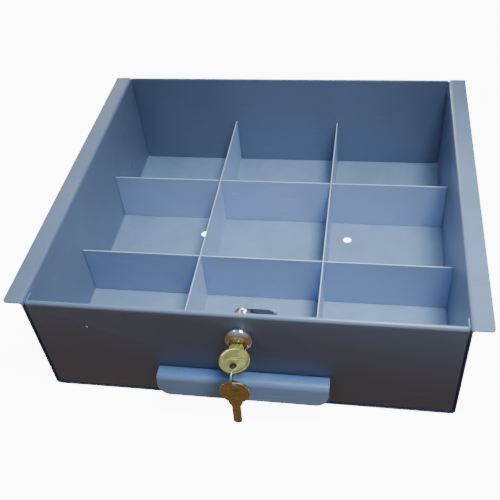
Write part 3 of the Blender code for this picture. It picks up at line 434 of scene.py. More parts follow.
def powder_paint(name, colour, roughness, wear=0.0, painted_top_light=None, dust_and_light_amount=0.26):
    """Satin powder coat: orange peel, faint mottling, rub marks, and a paler blue on level faces.

    Dust and painted light share that paler blue, which is strongest low down, on the floor. An
    optional top colour covers it on level faces as painted light: painted shade on the pull's
    top, a painted highlight on the dividers' tops.
    """
    nodes = Nodes(name, colour, 0.0, roughness)
    colour = np.array(colour)
    mottled = nodes.mix(nodes.remap(nodes.noise(9.0, 4.0), 0.35, 0.65),
                        tuple(colour * 0.94), tuple(np.minimum(colour * 1.05, 1)))
    speckled = nodes.mix(nodes.remap(nodes.noise(1700.0, 2.0), 0.58, 0.74, 0.0, 0.35), mottled,
                         tuple(np.minimum(colour * 1.35 + 0.01, 1)))
    # Dust and painted light: level faces take a paler blue of the paint, raised low down so that
    # the floors read brighter.
    settled_and_floor_light = nodes.remap(nodes.height(), 0.002, 0.030, 1.7, 1.0)
    dust_and_painted_light = nodes.math("MULTIPLY", nodes.math("MULTIPLY", nodes.remap(nodes.facing_up(), 0.6, 1.0),
                                             settled_and_floor_light),
                      nodes.remap(nodes.noise(26.0, 6.0, 0.65), 0.25, 0.80, 0.25 * dust_and_light_amount,
                                  dust_and_light_amount + wear))
    dusty_and_lit = nodes.mix(dust_and_painted_light, speckled, (0.25, 0.41, 0.66))
    # Painted light on level faces: the top colour is painted shade on the pull's top and a painted
    # highlight on the dividers' tops.
    if painted_top_light:
        painted_top_light_mask = nodes.math("MULTIPLY", nodes.remap(nodes.facing_up(), 0.5, 0.9),
                          nodes.remap(nodes.noise(60.0, 4.0, 0.6), 0.25, 0.55, 0.55, 0.95))
        dusty_and_lit = nodes.mix(painted_top_light_mask, dusty_and_lit, painted_top_light)
    rubs_x = scratches(nodes, (35, 14, 14), (16, 900, 900), 0.66)
    rubs_y = scratches(nodes, (14, 30, 14), (900, 14, 900), 0.67)
    rubs = nodes.math("MAXIMUM", rubs_x, rubs_y)
    nodes.colour(nodes.mix(nodes.math("MULTIPLY", rubs, 0.30 + wear), dusty_and_lit,
                           tuple(np.minimum(colour * 1.9 + 0.03, 1))))
    gloss = nodes.remap(nodes.noise(14.0, 5.0, 0.6), 0.3, 0.7, roughness - 0.05, roughness + 0.07)
    nodes.rough(nodes.math("ADD", gloss, nodes.math("MULTIPLY", dust_and_painted_light, 0.3)))
    nodes.shader.inputs["Coat Weight"].default_value = 0.12
    nodes.shader.inputs["Coat Roughness"].default_value = 0.22
    nodes.bump((nodes.noise(430.0, 2.0, 0.45), 0.00012, 0.32),
               (nodes.noise(2600.0, 1.0, 0.5), 0.00003, 0.22),
               (rubs, 0.00005, 0.25))
    return nodes.material


def plated(name, colour, roughness, grain=(40, 40, 1500), stain=None):
    """Plated or bare metal: fine grain, smudged gloss and an optional stain."""
    nodes = Nodes(name, colour, 1.0, roughness)
    colour = np.array(colour)
    tone = nodes.mix(nodes.remap(nodes.noise(160.0, 4.0, 0.6), 0.35, 0.7),
                     tuple(colour * 0.90), tuple(np.minimum(colour * 1.06, 1)))
    if stain:
        tone = nodes.mix(nodes.remap(nodes.noise(330.0, 6.0, 0.7), 0.48, 0.72, 0.0, 0.75), tone,
                         stain)
    nodes.colour(tone)
    lines = nodes.noise(1.0, 3.0, 0.6, stretch=grain)
    smudge = nodes.remap(nodes.noise(220.0, 5.0, 0.6), 0.3, 0.75, 0.75 * roughness,
                         1.45 * roughness)
    nodes.rough(nodes.math("ADD", smudge, nodes.remap(lines, 0.4, 0.8, 0.0, 0.35 * roughness)))
    nodes.bump((lines, 0.00002, 0.30), (nodes.noise(900.0, 3.0), 0.00003, 0.20))
    return nodes.material


FINISH = {}


def make_finishes(settings):
    paint, lock = settings.paint, settings.lock
    FINISH["blue_grey_paint"] = powder_paint("blue_grey_powder_coat", tuple(paint.colour),
                                             paint.roughness)
    # The pull's paint is a lighter copy of the body's, as painted light.
    FINISH["pull_paint"] = powder_paint("blue_grey_pull_coat", tuple(paint.pull_painted_light_colour),
                                        # Its top colour is painted shade on the pull's level top.
                                        paint.roughness, 0.0, tuple(paint.shaded_top_colour), 0.08)
    # Lighter paint on rounded edges: wear, and a painted highlight.
    FINISH["worn_edge"] = powder_paint("powder_coat_on_edges", tuple(paint.edge_wear_and_highlight_colour),
                                       paint.roughness - 0.04, 0.1)
    FINISH["grid_paint"] = powder_paint("blue_grey_grid_coat", tuple(paint.grid_colour),
                                        # The top colour is a painted highlight on the dividers'
                                        # level tops.
                                        paint.roughness, 0.0, tuple(paint.highlit_top_colour))
    FINISH["chrome"] = plated("bright_chrome", tuple(lock.chrome_colour), 0.09,
                              grain=(300, 300, 300))
    FINISH["zinc_plate"] = plated("zinc_plate", (0.70, 0.72, 0.76), 0.27,
                                  stain=(0.60, 0.60, 0.58))
    FINISH["brass"] = plated("plug_brass", (0.66, 0.50, 0.24), 0.24, grain=(900, 60, 60))
    FINISH["nickel_brass"] = plated("worn_nickel_brass", (0.44, 0.41, 0.15), 0.32,
                                    grain=(900, 60, 60), stain=(0.38, 0.33, 0.12))
    FINISH["old_brass"] = plated("tarnished_brass", (0.66, 0.60, 0.37), 0.36,
                                 grain=(60, 60, 900), stain=(0.33, 0.25, 0.11))
    FINISH["spring_steel"] = plated("drawn_wire", (0.62, 0.62, 0.64), 0.20)


# ---------------------------------------------------------------- copies with softened edges
def softened(node, name, width, edge_slot=None, finish=None):
    """A merged copy of a CAD node with its sharp edges rounded, standing for the node."""
    mesh = frame["nodes"][node].data.copy()
    mesh.name = name
    piece = put_object(name, mesh)
    merge_and_flatten(piece)
    finish_piece(piece, node, finish)
    if edge_slot:
        mesh.materials.append(FINISH[edge_slot])
    # With an edge slot, rounded edges take the lighter edge paint: wear and a painted highlight.
    add_modifier(piece, "BEVEL", width=width, segments=2, limit_method="ANGLE", angle_limit=0.95,
                 harden_normals=True, use_clamp_overlap=True, material=1 if edge_slot else -1)
    return piece


def merge_and_flatten(piece):
    """Weld a triangle soup and dissolve the triangles of each flat face into one face."""
    shape = bmesh.new()
    shape.from_mesh(piece.data)
    bmesh.ops.remove_doubles(shape, verts=shape.verts, dist=0.000002)
    bmesh.ops.dissolve_limit(shape, angle_limit=0.01, verts=shape.verts, edges=shape.edges,
                             delimit=set())
    shape.to_mesh(piece.data)
    shape.free()


# ---------------------------------------------------------------- the pull
def bent_path(corners, radii, steps):
    """Points along a bent sheet's middle line: straight runs joined by arcs tangent to both.

    At a corner that turns by t, an arc of radius r starts r tan(t / 2) before it.
    """
    corners = np.asarray(corners, float)
    points = [corners[:1]]
    for before, corner, after, radius in zip(corners, corners[1:], corners[2:], radii):
        start = (corner - before) / np.linalg.norm(corner - before)
        end = (after - corner) / np.linalg.norm(after - corner)
        turn = np.arctan2(start[0] * end[1] - start[1] * end[0], start @ end)
        side = np.sign(turn)
        first = corner - start * radius * np.tan(abs(turn) / 2)
        centre = first + side * radius * np.array([-start[1], start[0]])
        angle = np.arctan2(*(first - centre)[::-1])
        points.append(arc_points(centre, radius, angle, angle + turn, steps))
    points.append(corners[-1:])
    return np.vstack(points)


def make_pull(pull):
    """The pull's middle surface: its bent path carried across, each end's lip cut to a rounded
    corner, where the path beyond the last bend is shortened by the corner's arc. A wall and
    softened edges are then added, and the rivets' holes are bored."""
    low, high = box_of("pull_handle")
    against, top = high[1] - pull.sheet / 2, high[2] - pull.sheet / 2
    reach = low[1] + pull.flare + pull.sheet / 2 * np.cos(np.arctan2(pull.flare, pull.lip_drop))
    path = bent_path([(against, top - pull.flange), (against, top), (reach, top),
                      (reach - pull.flare, top - pull.lip_drop)],
                     (pull.flange_bend, pull.lip_bend), 13)
    straight, last = path[:-1], path[-1] - path[-2]
    half = (high[0] - low[0]) / 2
    shares = np.linspace(0, TURN / 4, 13)
    end = half - pull.corner * (1 - np.sin(shares))
    across = np.concatenate([-end[::-1], np.linspace(-half + pull.corner, half - pull.corner,
                                                     24)[1:-1], end])
    inset = np.clip(np.abs(across) - (half - pull.corner), 0, pull.corner)
    short = pull.corner - np.sqrt(np.maximum(pull.corner ** 2 - inset ** 2, 0))
    reach_share = 1 - short / np.linalg.norm(last)
    run = np.linspace(0, 1, 9)[1:]
    lip = straight[-1] + last * (run[None, :] * reach_share[:, None])[..., None]
    sheet = np.concatenate([np.broadcast_to(straight, (len(across), *straight.shape)), lip], 1)
    points = np.concatenate([np.broadcast_to(across[:, None, None], (*sheet.shape[:2], 1)), sheet],
                            -1)
    rows, columns = points.shape[:2]
    corner = (np.arange(rows - 1)[:, None] * columns + np.arange(columns - 1)).reshape(-1, 1)
    quads = corner + np.array([0, 1, columns + 1, columns])
    piece = put_mesh("formed_pull", points.reshape(-1, 3), quads)
    add_modifier(piece, "SOLIDIFY", thickness=pull.sheet, offset=0.0, use_even_offset=True)
    settle_modifiers(piece)
    for node in RIVETS:
        first, second = box_of(node)
        middle = (first + second) / 2
        hole = np.array([(pull.rivet_hole, 3 * pull.sheet), (pull.rivet_hole, -3 * pull.sheet)])
        bore_out(piece, turned_rings(hole, 32, middle))
    finish_piece(piece, "pull_handle", "pull_paint")
    # The pull's rounded edges take the lighter edge paint: wear and a painted highlight.
    piece.data.materials.append(FINISH["worn_edge"])
    add_modifier(piece, "BEVEL", width=pull.edge_round, segments=3, limit_method="ANGLE",
                 angle_limit=0.8, harden_normals=True, use_clamp_overlap=True, material=1)


# ---------------------------------------------------------------- round pieces of the lock
def thread_wave(radius, angle, out, pitch, depth):
    """A helical V thread: the radius less depth times a triangle wave of out / pitch + turn."""
    phase = np.mod(out / pitch + angle / TURN, 1.0)
    return radius - depth * np.abs(2 * phase - 1)


def make_barrel(lock):
    """Turned head and threaded body of the lock, with two upright flats and a stepped bore.

    Beyond the panel the radius follows thread_wave, fading at both ends, and the width across is
    clipped to the flats' distance from the axis. The bore keeps a constant radius.
    """
    low, high = box_of("lock_barrel")
    centre = lock_centre()
    head = (high[0] - low[0]) / 2
    front, back = centre[1] - low[1], centre[1] - high[1]
    body, flat = lock.barrel_radius, lock.barrel_flat
    bore, seat = lock.bore_radius, lock.plug_seat_radius
    ledge = front - lock.plug_seat_depth
    swell = np.linspace(TURN / 4, 0, 17)
    dome = np.stack([head * (0.62 + 0.38 * np.cos(swell)), front * (0.20 + 0.72 * np.sin(swell))],
                    -1)
    face = np.array([(seat + 0.15 * MM, front - 0.25 * MM), (seat + 0.40 * MM, front),
                     (seat + 0.75 * MM, front), (seat + 0.95 * MM, front - 0.28 * MM),
                     (seat + 1.15 * MM, front - 0.42 * MM)])
    dome = dome[dome[:, 0] > seat + 1.3 * MM]
    foot = np.array([(head, front * 0.12), (head, 0.55 * MM), (head - 0.15 * MM, lock.seat_gap),
                     (body, lock.seat_gap)])
    length = np.arange(-0.4 * MM, back + 0.9 * MM, -lock.thread_pitch / 8)
    threaded = np.stack([np.full_like(length, body), length], -1)
    end = np.array([(body - 0.25 * MM, back + 0.5 * MM), (body - 0.5 * MM, back), (bore, back),
                    (bore, back / 2), (bore, 0.0), (bore, ledge), (seat, ledge),
                    (seat, (ledge + front) / 2), (seat, front - 0.3 * MM)])
    profile = np.vstack([face, dome, foot, threaded, end])

    def shape(radius, angle, out):
        on_thread = (np.abs(radius - body) < 0.01 * MM) & (out < -0.3 * MM)
        fade = np.clip(np.minimum(-0.4 * MM - out, out - back - 0.5 * MM) / MM, 0, 1)
        cut = thread_wave(radius, angle, out, lock.thread_pitch, lock.thread_depth * fade)
        radius = np.where(on_thread, cut, radius + 0 * angle)
        across = radius * np.cos(angle)
        narrow = (out < lock.seat_gap + 0.01 * MM) & (radius > bore + 0.2 * MM) & (
            radius < body + 0.01 * MM)
        return np.where(narrow, np.clip(across, -flat, flat), across), radius * np.sin(angle)

    rings = turned_rings(profile, 96, centre, shape)
    barrel = put_skin("barrel_with_thread", rings, closed_along=True)
    start = TURN / 4 - lock.stop_tab_angle / 2 - lock.stop_clearance
    span = TURN / 4 + lock.stop_tab_angle + 2 * lock.stop_clearance
    sector = np.vstack([arc_points((0, 0), 2 * body, start, start + span, 24), [(0, 0)]])
    notch = np.stack([np.column_stack([centre[0] + sector[:, 0], np.full(25, centre[1] - out),
                                       centre[2] + sector[:, 1]])
                      for out in (back + lock.stop_depth, back - lock.stop_depth)])
    bore_out(barrel, notch)
    finish_piece(barrel, "lock_barrel", angle=0.6)


def make_nut(lock):
    """Hexagon nut: the radius is half the width across flats over the cosine of the angle from the
    nearest flat, cut back by a cone at both faces, and its bore carries the barrel's thread."""
    low, high = box_of("lock_nut")
    centre = lock_centre()
    half_flats = (high[2] - low[2]) / 2
    near, far = centre[1] - low[1], centre[1] - high[1]
    inner = lock.barrel_radius + 0.1 * MM
    out = np.array([near, near - 0.25 * MM, near - 0.6 * MM, (near + far) / 2,
                    far + 0.6 * MM, far + 0.25 * MM, far])
    outer = np.stack([np.full(7, 2 * half_flats), out], -1)
    rims = np.array([(half_flats - 0.4 * MM, near)]), np.array([(half_flats - 0.4 * MM, far)])
    depth = np.linspace(far, near, 29)
    bore = np.stack([np.full_like(depth, inner), depth], -1)
    profile = np.vstack([rims[0], outer, rims[1], bore])

    def shape(radius, angle, out):
        sixth = TURN / 6
        off = np.mod(angle - TURN / 4 + sixth / 2, sixth) - sixth / 2
        hexagon = half_flats / np.cos(off)
        cone = half_flats + 2.2 * np.minimum(near - out, out - far)
        cut = thread_wave(inner + 0.25 * MM, angle, out, lock.thread_pitch, 0.25 * MM)
        wall = np.where(radius > half_flats, np.minimum(hexagon, cone), radius + 0 * angle)
        wall = np.where(radius < inner + 0.01 * MM, cut, wall)
        return wall * np.cos(angle), wall * np.sin(angle)

    rings = turned_rings(profile, 120, centre, shape)
    nut = put_skin("hexagon_nut", rings, closed_along=True)
    finish_piece(nut, "lock_nut", angle=0.5)


def make_rivets(lock):
    """Domed rivets: a quarter-ellipse head in front and a flatter set head behind."""
    for node in RIVETS:
        low, high = box_of(node)
        middle = (low + high) / 2
        head = (high[0] - low[0]) / 2
        length = high[1] - low[1]
        swell = np.linspace(0, TURN / 4, 9)
        front_dome = np.stack([head * np.sin(swell) + 1e-6, 1.1 * MM * np.cos(swell)], -1)
        front_dome[:, 1] += length / 2 - 1.1 * MM
        back_dome = np.stack([head * np.sin(swell[::-1]) + 1e-6, -0.9 * MM * np.cos(swell[::-1])],
                             -1)
        back_dome[:, 1] -= length / 2 - 0.9 * MM
        profile = np.vstack([front_dome, [(lock.rivet_radius, front_dome[-1, 1]),
                             (lock.rivet_radius, back_dome[0, 1])],
                             back_dome])
        rings = turned_rings(profile, 32, middle)
        rivet = put_skin(f"domed_{node}", rings)
        finish_piece(rivet, node, angle=0.6)


def lock_centre():
    """The lock's axis where it meets the panel's face."""
    return np.array(JOINTS["lock_turn"]["pos_m"])


# ---------------------------------------------------------------- swept wire
def swept(path, section, up):
    """Rings of a flat section carried along a path.

    The section's first axis lies along up made square to the path's tangent, and its second along
    the cross product of the two.
    """
    tangent = np.gradient(path, axis=0)
    tangent /= np.linalg.norm(tangent, axis=1, keepdims=True)
    up = np.broadcast_to(up, path.shape)
    first = up - tangent * np.einsum("ij,ij->i", up, tangent)[:, None]
    first /= np.linalg.norm(first, axis=1, keepdims=True)
    second = np.cross(tangent, first)
    return (path[:, None] + section[None, :, :1] * first[:, None]
            + section[None, :, 1:] * second[:, None])


def rounded_bar(half_wide, half_thick, corner):
    """Closed outline of a bar whose corners are quarter circles."""
    quarters = [arc_points((sx * (half_wide - corner), sy * (half_thick - corner)), corner, start,
                           start + TURN / 4, 4)
                for sx, sy, start in ((1, 1, 0), (-1, 1, TURN / 4), (-1, -1, TURN / 2),
                                      (1, -1, 3 * TURN / 4))]
    return np.vstack(quarters)


RING_START = 0.3 * TURN
RING_STEP = 0.6                      # angle over which the wire changes sides
RING_END_GAP = 0.06


def make_split_ring(keys):
    """Flat wire wound round: its sideways place steps smoothly from one side to the other half way
    along, and its ends lie on the outside of that step. The wire is slimmer than the node's, which
    keeps it clear of the key's hole as it swings."""
    low, high = box_of("key_ring")
    middle = (low + high) / 2
    wide = (high[0] - low[0]) / 2
    radius = (high[2] - low[2]) / 2 - 1.2 * wide
    turns = keys.ring_turns
    angle = np.linspace(RING_END_GAP, turns * TURN - RING_END_GAP, 72 * turns)
    step = np.clip((angle - turns * TURN / 2) / RING_STEP + 0.5, 0, 1)
    side = (step * step * (3 - 2 * step) - 0.5) * wide
    start = angle + RING_START
    path = np.stack([middle[0] + side, middle[1] + radius * np.cos(start),
                     middle[2] + radius * np.sin(start)], -1)
    section = rounded_bar(wide * 0.50, wide * 0.44, 0.16 * MM)
    rings = swept(path, section, path - middle)
    ring = put_skin("split_ring", rings)
    finish_piece(ring, "key_ring", angle=0.8)


SPRING_WIRE = 0.11 * MM              # radius
SPRING_TURNS = 5.5


def make_wafer_springs():
    """Fine coils with closed end turns: the pitch falls to the wire's own width at both ends."""
    wire = SPRING_WIRE
    for node in SPRINGS:
        low, high = box_of(node)
        middle = (low + high) / 2
        coil = (high[2] - low[2]) / 2 - wire
        half = (high[0] - low[0]) / 2 - wire
        share = np.linspace(-1, 1, 121)
        along = half * (0.8 * share + 0.2 * share ** 5)
        angle = share * SPRING_TURNS * TURN / 2
        path = np.stack([middle[0] + along, middle[1] + coil * np.cos(angle),
                         middle[2] + coil * np.sin(angle)], -1)
        section = arc_points((0, 0), wire, 0, TURN, 9)[:-1]
        rings = swept(path, section, path - (middle + np.stack(
            [along, 0 * along, 0 * along], -1)))
        spring = put_skin(f"coil_{node}", rings)
        finish_piece(spring, node, angle=1.2)


# ---------------------------------------------------------------- the keys
def key_half_width(along, keys, bow):
    """Half width of a key at distances from its bow's middle towards its tip.

    The bow is a circle. The neck is straight, narrows to the blade, and the blade has V cuts and a
    blunt tip.
    """
    bow_part = np.sqrt(np.maximum(bow ** 2 - along ** 2, 0))
    shoulder = bow + keys.neck_length
    blade_end = keys.length - bow
    neck = np.interp(along, [0, shoulder, shoulder + keys.shoulder_length],
                     [keys.neck_half, keys.neck_half, keys.blade_half])
    first = shoulder + keys.uncut
    pitch = (blade_end - keys.tip_length - first) / len(KEY_CUTS)
    middles = first + pitch * np.arange(len(KEY_CUTS))
    notch = np.clip(1 - np.abs(along[:, None] - middles) / (0.3 * pitch), 0, 1) * KEY_CUTS
    tip = np.interp(along, [blade_end - keys.tip_length, blade_end],
                    [keys.blade_half, 0.3 * keys.blade_half])
    blade = np.minimum(neck - notch.sum(1), np.where(along > blade_end - keys.tip_length, tip, 1))
    return np.where(along > 0, np.maximum(bow_part, blade), bow_part)


# Plain bars on a key's bow: place towards the tip, half width and half length.
KEY_BARS = ((1.2 * MM, 0.35 * MM, 5.6 * MM), (3.0 * MM, 0.28 * MM, 4.2 * MM))
HOLE_COLLAR = 0.9 * MM
GROOVE_PLACE, GROOVE_HALF = 0.9 * MM, 0.75 * MM    # sideways from the blade's middle


def key_relief(across, along, keys, bow):
    """How far a key's face lies below its full thickness.

    The bow's face is sunk inside a raised rim and round the hole's collar, with two plain bars
    left standing across it. The blade carries a milled groove to one side of its middle.
    """
    from_rim = bow - np.hypot(across, along) - keys.rim
    from_hole = np.hypot(across, along + keys.hole_offset) - keys.hole_radius - HOLE_COLLAR
    inside = np.clip(np.minimum(from_rim, from_hole) / (0.25 * MM), 0, 1)
    bars = np.min([np.maximum(np.abs(along - place) - half, np.abs(across) - reach)
                   for place, half, reach in KEY_BARS], 0)
    sunk = keys.recess * inside * np.clip(bars / (0.2 * MM), 0, 1)
    groove_run = np.clip((along - bow - 1.2 * MM) / MM, 0, 1)
    groove = np.clip(1 - np.abs(across - GROOVE_PLACE) / GROOVE_HALF, 0, 1) ** 0.5
    return sunk + keys.groove * groove * groove_run * (along > bow)


def key_surface(keys, bow, thickness):
    """A key lying flat: sections across it, one for each distance along it.

    A section runs over the top face from one side to the other and back under it. Across is the
    half width times sin of a quarter turn times a share, which packs points near the edges, and
    the height falls in a quarter circle within the edge's rounding.
    """
    blade_end = keys.length - bow
    shares = np.linspace(0, TURN / 4, 34)
    along = np.concatenate([-bow * np.cos(shares), np.linspace(0.35 * MM, bow + 1.0 * MM, 40),
                            np.linspace(bow + 1.3 * MM, blade_end, 110)])
    along[0] += 0.004 * MM
    half = key_half_width(along, keys, bow)[:, None]
    share = np.sin(np.linspace(-1, 1, 61) * TURN / 4)[None, :]
    across = half * share
    edge = np.minimum(half * (1 - np.abs(share)), keys.edge_round)
    fall = keys.edge_round - np.sqrt(np.maximum(keys.edge_round ** 2
                                                - (keys.edge_round - edge) ** 2, 0))
    ends = np.minimum(along + bow, blade_end - along)[:, None]
    end_fall = keys.edge_round - np.sqrt(np.maximum(
        keys.edge_round ** 2 - (keys.edge_round - np.minimum(ends, keys.edge_round)) ** 2, 0))
    relief = np.maximum(fall, end_fall)
    level = thickness / 2 - np.maximum(relief, key_relief(across, along[:, None], keys, bow))
    top = np.stack([across, along[:, None] + 0 * across, level], -1)
    under = np.stack([across, along[:, None] + 0 * across, -level], -1)[:, ::-1]
    return np.concatenate([top, under], 1)


def make_key(name, node, keys, place):
    """One key: its surface is moved by a function to its place, and its ring hole is bored."""
    low, high = box_of("key_in_lock")
    bow, thickness = (high[0] - low[0]) / 2, high[2] - low[2]
    rings = key_surface(keys, bow, thickness)
    key = put_skin(name, place(rings))
    angle = np.linspace(0, TURN, 49)[:-1]
    side = np.array([[-thickness], [thickness]])
    drill = np.stack([keys.hole_radius * np.cos(angle) + 0 * side,
                      keys.hole_radius * np.sin(angle) - keys.hole_offset + 0 * side,
                      side + 0 * angle], -1)
    bore_out(key, place(drill))
    finish_piece(key, node, angle=0.5)


def make_keys(keys):
    """The key in the lock lies flat, and the spare hangs from the ring with a slight lean."""
    low, high = box_of("key_in_lock")
    bow = (high[0] - low[0]) / 2
    middle = np.array([(low[0] + high[0]) / 2, low[1] + bow, (low[2] + high[2]) / 2])
    make_key("lock_key", "key_in_lock", keys, lambda points: points + middle)
    length, thick = high[1] - low[1], high[2] - low[2]
    low, high = box_of("spare_key")
    deep, tall = (high - low)[1:]
    lean = np.arcsin((deep * length - tall * thick) / (length ** 2 - thick ** 2))
    down = np.array([0, -np.sin(lean), -np.cos(lean)])
    out = np.cross((1, 0, 0), down)
    hung = (low + high) / 2 - down * (length / 2 - bow)
    make_key("hanging_spare", "spare_key", keys,
             lambda points: hung + points @ np.array([(1, 0, 0), down, out]))


# ---------------------------------------------------------------- the steps
class DrawerSettings(PropertyGroup):
    """All sizes and colours of the finished drawer."""
    paint: PointerProperty(type=PaintSettings)
    pull: PointerProperty(type=PullSettings)
    lock: PointerProperty(type=LockSettings)
    keys: PointerProperty(type=KeySettings)
    stage: PointerProperty(type=StageSettings)


class CASH_DRAWER_OT_finishes(Operator):
    """Mix the paints and metals"""
    bl_idname = "cash_drawer.finishes"
    bl_label = "Mix finishes"

    def execute(self, context):
        make_finishes(context.scene.cash_drawer)
        return {"FINISHED"}


class CASH_DRAWER_OT_sheets(Operator):
    """Round and paint the bent sheet pieces"""
    bl_idname = "cash_drawer.sheets"
    bl_label = "Finish sheet steel"

    def execute(self, context):
        paint = context.scene.cash_drawer.paint
        for node in BODY_SHEETS:
            softened(node, f"painted_{node}", paint.edge_round, edge_slot="worn_edge")
        return {"FINISHED"}


class CASH_DRAWER_OT_grid(Operator):
    """Round and paint the divider grid"""
    bl_idname = "cash_drawer.grid"
    bl_label = "Finish divider grid"

    def execute(self, context):
        paint = context.scene.cash_drawer.paint
        for node in GRID_SHEETS:
            softened(node, f"painted_{node}", paint.edge_round, edge_slot="worn_edge",
                     finish="grid_paint")
        return {"FINISHED"}


class CASH_DRAWER_OT_pull(Operator):
    """Form the pull"""
    bl_idname = "cash_drawer.pull"
    bl_label = "Form pull"

    def execute(self, context):
        make_pull(context.scene.cash_drawer.pull)
        make_rivets(context.scene.cash_drawer.lock)
        return {"FINISHED"}


class CASH_DRAWER_OT_lock(Operator):
    """Turn and thread the lock's barrel and nut, and finish its pressings and springs"""
    bl_idname = "cash_drawer.lock"
    bl_label = "Build lock"

    def execute(self, context):
        lock = context.scene.cash_drawer.lock
        make_barrel(lock)
        make_nut(lock)
        make_wafer_springs()
        for node in PRESSINGS:
            softened(node, f"finished_{node}", 0.1 * MM)
        return {"FINISHED"}


class CASH_DRAWER_OT_keys(Operator):
    """Cut both keys and wind their ring"""
    bl_idname = "cash_drawer.keys"
    bl_label = "Cut keys"

    def execute(self, context):
        keys = context.scene.cash_drawer.keys
        make_keys(keys)
        make_split_ring(keys)
        return {"FINISHED"}


class CASH_DRAWER_OT_stage(Operator):
    """Set up the floor, the light and the camera"""
    bl_idname = "cash_drawer.stage"
    bl_label = "Build stage"

    def execute(self, context):
        stage = context.scene.cash_drawer.stage
        make_floor(stage)
        make_light()
        make_camera(stage)
        return {"FINISHED"}


# ---------------------------------------------------------------- the stage
FLOOR_GLOW = 10.0
FLOOR_DROP = 0.4 * MM                # keeps the drawer's underside clear of the floor


def make_floor(stage):
    """A pale floor that glows, so that it reads as a bright sweep, and casts no light."""
    half = stage.floor_size / 2
    corners = np.array([(-half, -half, 0), (half, -half, 0), (half, half, 0), (-half, half, 0)])
    floor = put_mesh("studio_floor", corners, np.array([[0, 1, 2, 3]]))
    nodes = Nodes("pale_floor", tuple(stage.floor_colour), 0.0, 0.85)
    nodes.colour(nodes.mix(nodes.remap(nodes.noise(2.0, 3.0), 0.3, 0.7),
                           tuple(np.array(stage.floor_colour) * 0.985),
                           tuple(stage.floor_colour)))
    nodes.shader.inputs["Emission Color"].default_value = (1.0, 1.0, 1.0, 1)
    nodes.shader.inputs["Emission Strength"].default_value = FLOOR_GLOW
    floor.data.materials.append(nodes.material)
    floor.location.z = -FLOOR_DROP
    floor.visible_diffuse = False
    floor.visible_glossy = False


def hang_light(name, kind, place, target, power, colour, **values):
    """A light at a place, aimed at a target, with its own settings."""
    lamp = bpy.data.lights.new(name, kind)
    lamp.energy = power
    lamp.color = colour
    for key, value in values.items():
        setattr(lamp, key, value)
    light = put_object(name, lamp)
    light.location = place
    light.rotation_euler = (Vector(target) - Vector(place)).to_track_quat("-Z", "Y").to_euler()


# Soft boxes: name, place, target, width, height, watts, colour.
STRIP_COLOUR, FILL_COLOUR = (0.90, 0.97, 1.0), (0.95, 0.98, 1.0)
SOFT_BOXES = (
    ("strip_right", (0.34, -0.12, 1.15), (0, -0.17, 0.09), 0.14, 0.26, 1.1, STRIP_COLOUR),
    ("strip_left", (-0.50, -0.07, 1.00), (0, -0.17, 0.09), 0.13, 0.24, 1.0, STRIP_COLOUR),
    ("rear_fill", (-0.4, 1.7, 0.30), (0, 0.1, 0.06), 1.2, 0.5, 26, FILL_COLOUR),
    ("left_fill", (-1.6, 0.45, 0.045), (0, 0.1, 0.045), 1.0, 0.09, 11, FILL_COLOUR),
    ("right_fill", (1.6, 0.45, 0.045), (0, 0.1, 0.045), 1.0, 0.09, 11, FILL_COLOUR))
BACKDROP_BRIGHTNESS = 11.0
# The sky's colours: share of the way from straight down to straight up, and colour.
SKY = ((0.00, (0.212, 0.126, 0.056)), (0.46, (0.201, 0.120, 0.053)), (0.60, (0.242, 0.192, 0.170)),
       (0.80, (0.280, 0.314, 0.360)), (1.00, (0.414, 0.454, 0.507)))


def make_light():
    """A sky bright above and dim below, a soft lamp over the drawer, two strips over its lock and
    fills for its back and sides. Seen directly, the sky is a plain pale backdrop."""
    world = bpy.data.worlds.new("studio")
    bpy.context.scene.world = world
    world.use_nodes = True
    tree = world.node_tree
    tree.nodes.clear()
    place = tree.nodes.new("ShaderNodeTexCoord")
    split = tree.nodes.new("ShaderNodeSeparateXYZ")
    ramp = tree.nodes.new("ShaderNodeValToRGB")
    spread = tree.nodes.new("ShaderNodeMapRange")
    spread.inputs["From Min"].default_value = -1.0
    sky = tree.nodes.new("ShaderNodeBackground")
    backdrop = tree.nodes.new("ShaderNodeBackground")
    backdrop.inputs["Color"].default_value = (1.0, 1.0, 1.0, 1)
    backdrop.inputs["Strength"].default_value = BACKDROP_BRIGHTNESS
    direct = tree.nodes.new("ShaderNodeLightPath")
    choose = tree.nodes.new("ShaderNodeMixShader")
    out = tree.nodes.new("ShaderNodeOutputWorld")
    ramp.color_ramp.elements[0].color = (*SKY[0][1], 1)
    ramp.color_ramp.elements[1].color = (*SKY[-1][1], 1)
    for position, colour in SKY[1:-1]:
        ramp.color_ramp.elements.new(position).color = (*colour, 1)
    for source, target in ((place.outputs["Generated"], split.inputs["Vector"]),
                           (split.outputs["Z"], spread.inputs["Value"]),
                           (spread.outputs["Result"], ramp.inputs["Fac"]),
                           (ramp.outputs["Color"], sky.inputs["Color"]),
                           (direct.outputs["Is Camera Ray"], choose.inputs["Fac"]),
                           (sky.outputs["Background"], choose.inputs[1]),
                           (backdrop.outputs["Background"], choose.inputs[2]),
                           (choose.outputs["Shader"], out.inputs["Surface"])):
        tree.links.new(source, target)
    hang_light("key_lamp", "SPOT", (0.250, -0.140, 0.850), (0.030, -0.065, 0.02), 53,
               (0.85, 0.98, 1.0), spot_size=np.radians(48), spot_blend=1.0,
               shadow_soft_size=0.14)
    for name, place, target, wide, tall, power, colour in SOFT_BOXES:
        hang_light(name, "AREA", place, target, power, colour, shape="RECTANGLE", size=wide,
                   size_y=tall)


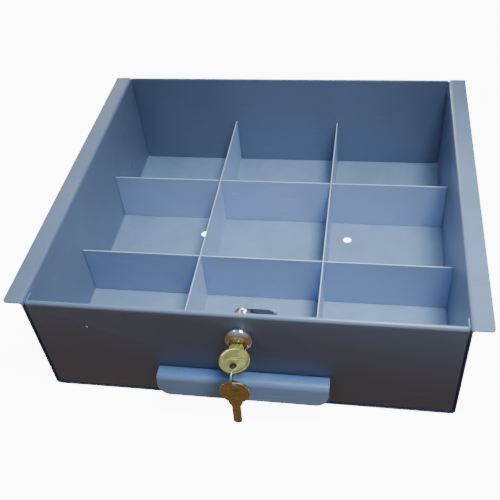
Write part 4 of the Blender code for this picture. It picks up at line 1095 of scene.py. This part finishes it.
# The camera's azimuth, elevation and roll in degrees, its place, and its lens shift.
CAMERA_ANGLES = (12.8, 44.7, -6.43)
CAMERA_PLACE = (0.09605, -0.51293, 0.52949)
CAMERA_SHIFT = (-0.0032, 0.005)


def make_camera(stage):
    """A camera that looks down from the front right, with a slight roll."""
    azimuth, elevation, roll = np.radians(CAMERA_ANGLES)
    ahead = Vector((-np.sin(azimuth) * np.cos(elevation), np.cos(azimuth) * np.cos(elevation),
                    -np.sin(elevation)))
    right = ahead.cross(Vector((0, 0, 1))).normalized()
    up = right.cross(ahead)
    across = np.cos(roll) * right + np.sin(roll) * up
    upright = np.cos(roll) * up - np.sin(roll) * right
    data = bpy.data.cameras.new("camera")
    data.lens = stage.lens
    data.sensor_width = 36
    data.shift_x, data.shift_y = CAMERA_SHIFT
    camera = put_object("camera", data)
    camera.matrix_world = (Matrix.Translation(CAMERA_PLACE)
                           @ Matrix((across, upright, -ahead)).transposed().to_4x4())
    bpy.context.scene.camera = camera


class CASH_DRAWER_PT_panel(Panel):
    """Sidebar list of the build steps"""
    bl_label = "Cash Drawer"
    bl_idname = "CASH_DRAWER_PT_panel"
    bl_space_type = "VIEW_3D"
    bl_region_type = "UI"
    bl_category = "Cash Drawer"

    def draw(self, context):
        for step in STEPS:
            self.layout.operator(f"cash_drawer.{step}")


STEPS = ("finishes", "sheets", "grid", "pull", "lock", "keys", "stage")
CLASSES = (PaintSettings, PullSettings, LockSettings, KeySettings, StageSettings, DrawerSettings,
           CASH_DRAWER_OT_finishes, CASH_DRAWER_OT_sheets, CASH_DRAWER_OT_grid,
           CASH_DRAWER_OT_pull, CASH_DRAWER_OT_lock, CASH_DRAWER_OT_keys, CASH_DRAWER_OT_stage,
           CASH_DRAWER_PT_panel)


def register():
    for part in CLASSES:
        bpy.utils.register_class(part)
    bpy.types.Scene.cash_drawer = PointerProperty(type=DrawerSettings)


def unregister():
    del bpy.types.Scene.cash_drawer
    for part in reversed(CLASSES):
        bpy.utils.unregister_class(part)


def main():
    register()
    for step in STEPS:
        getattr(bpy.ops.cash_drawer, step)()


if __name__ == "__main__":
    main()
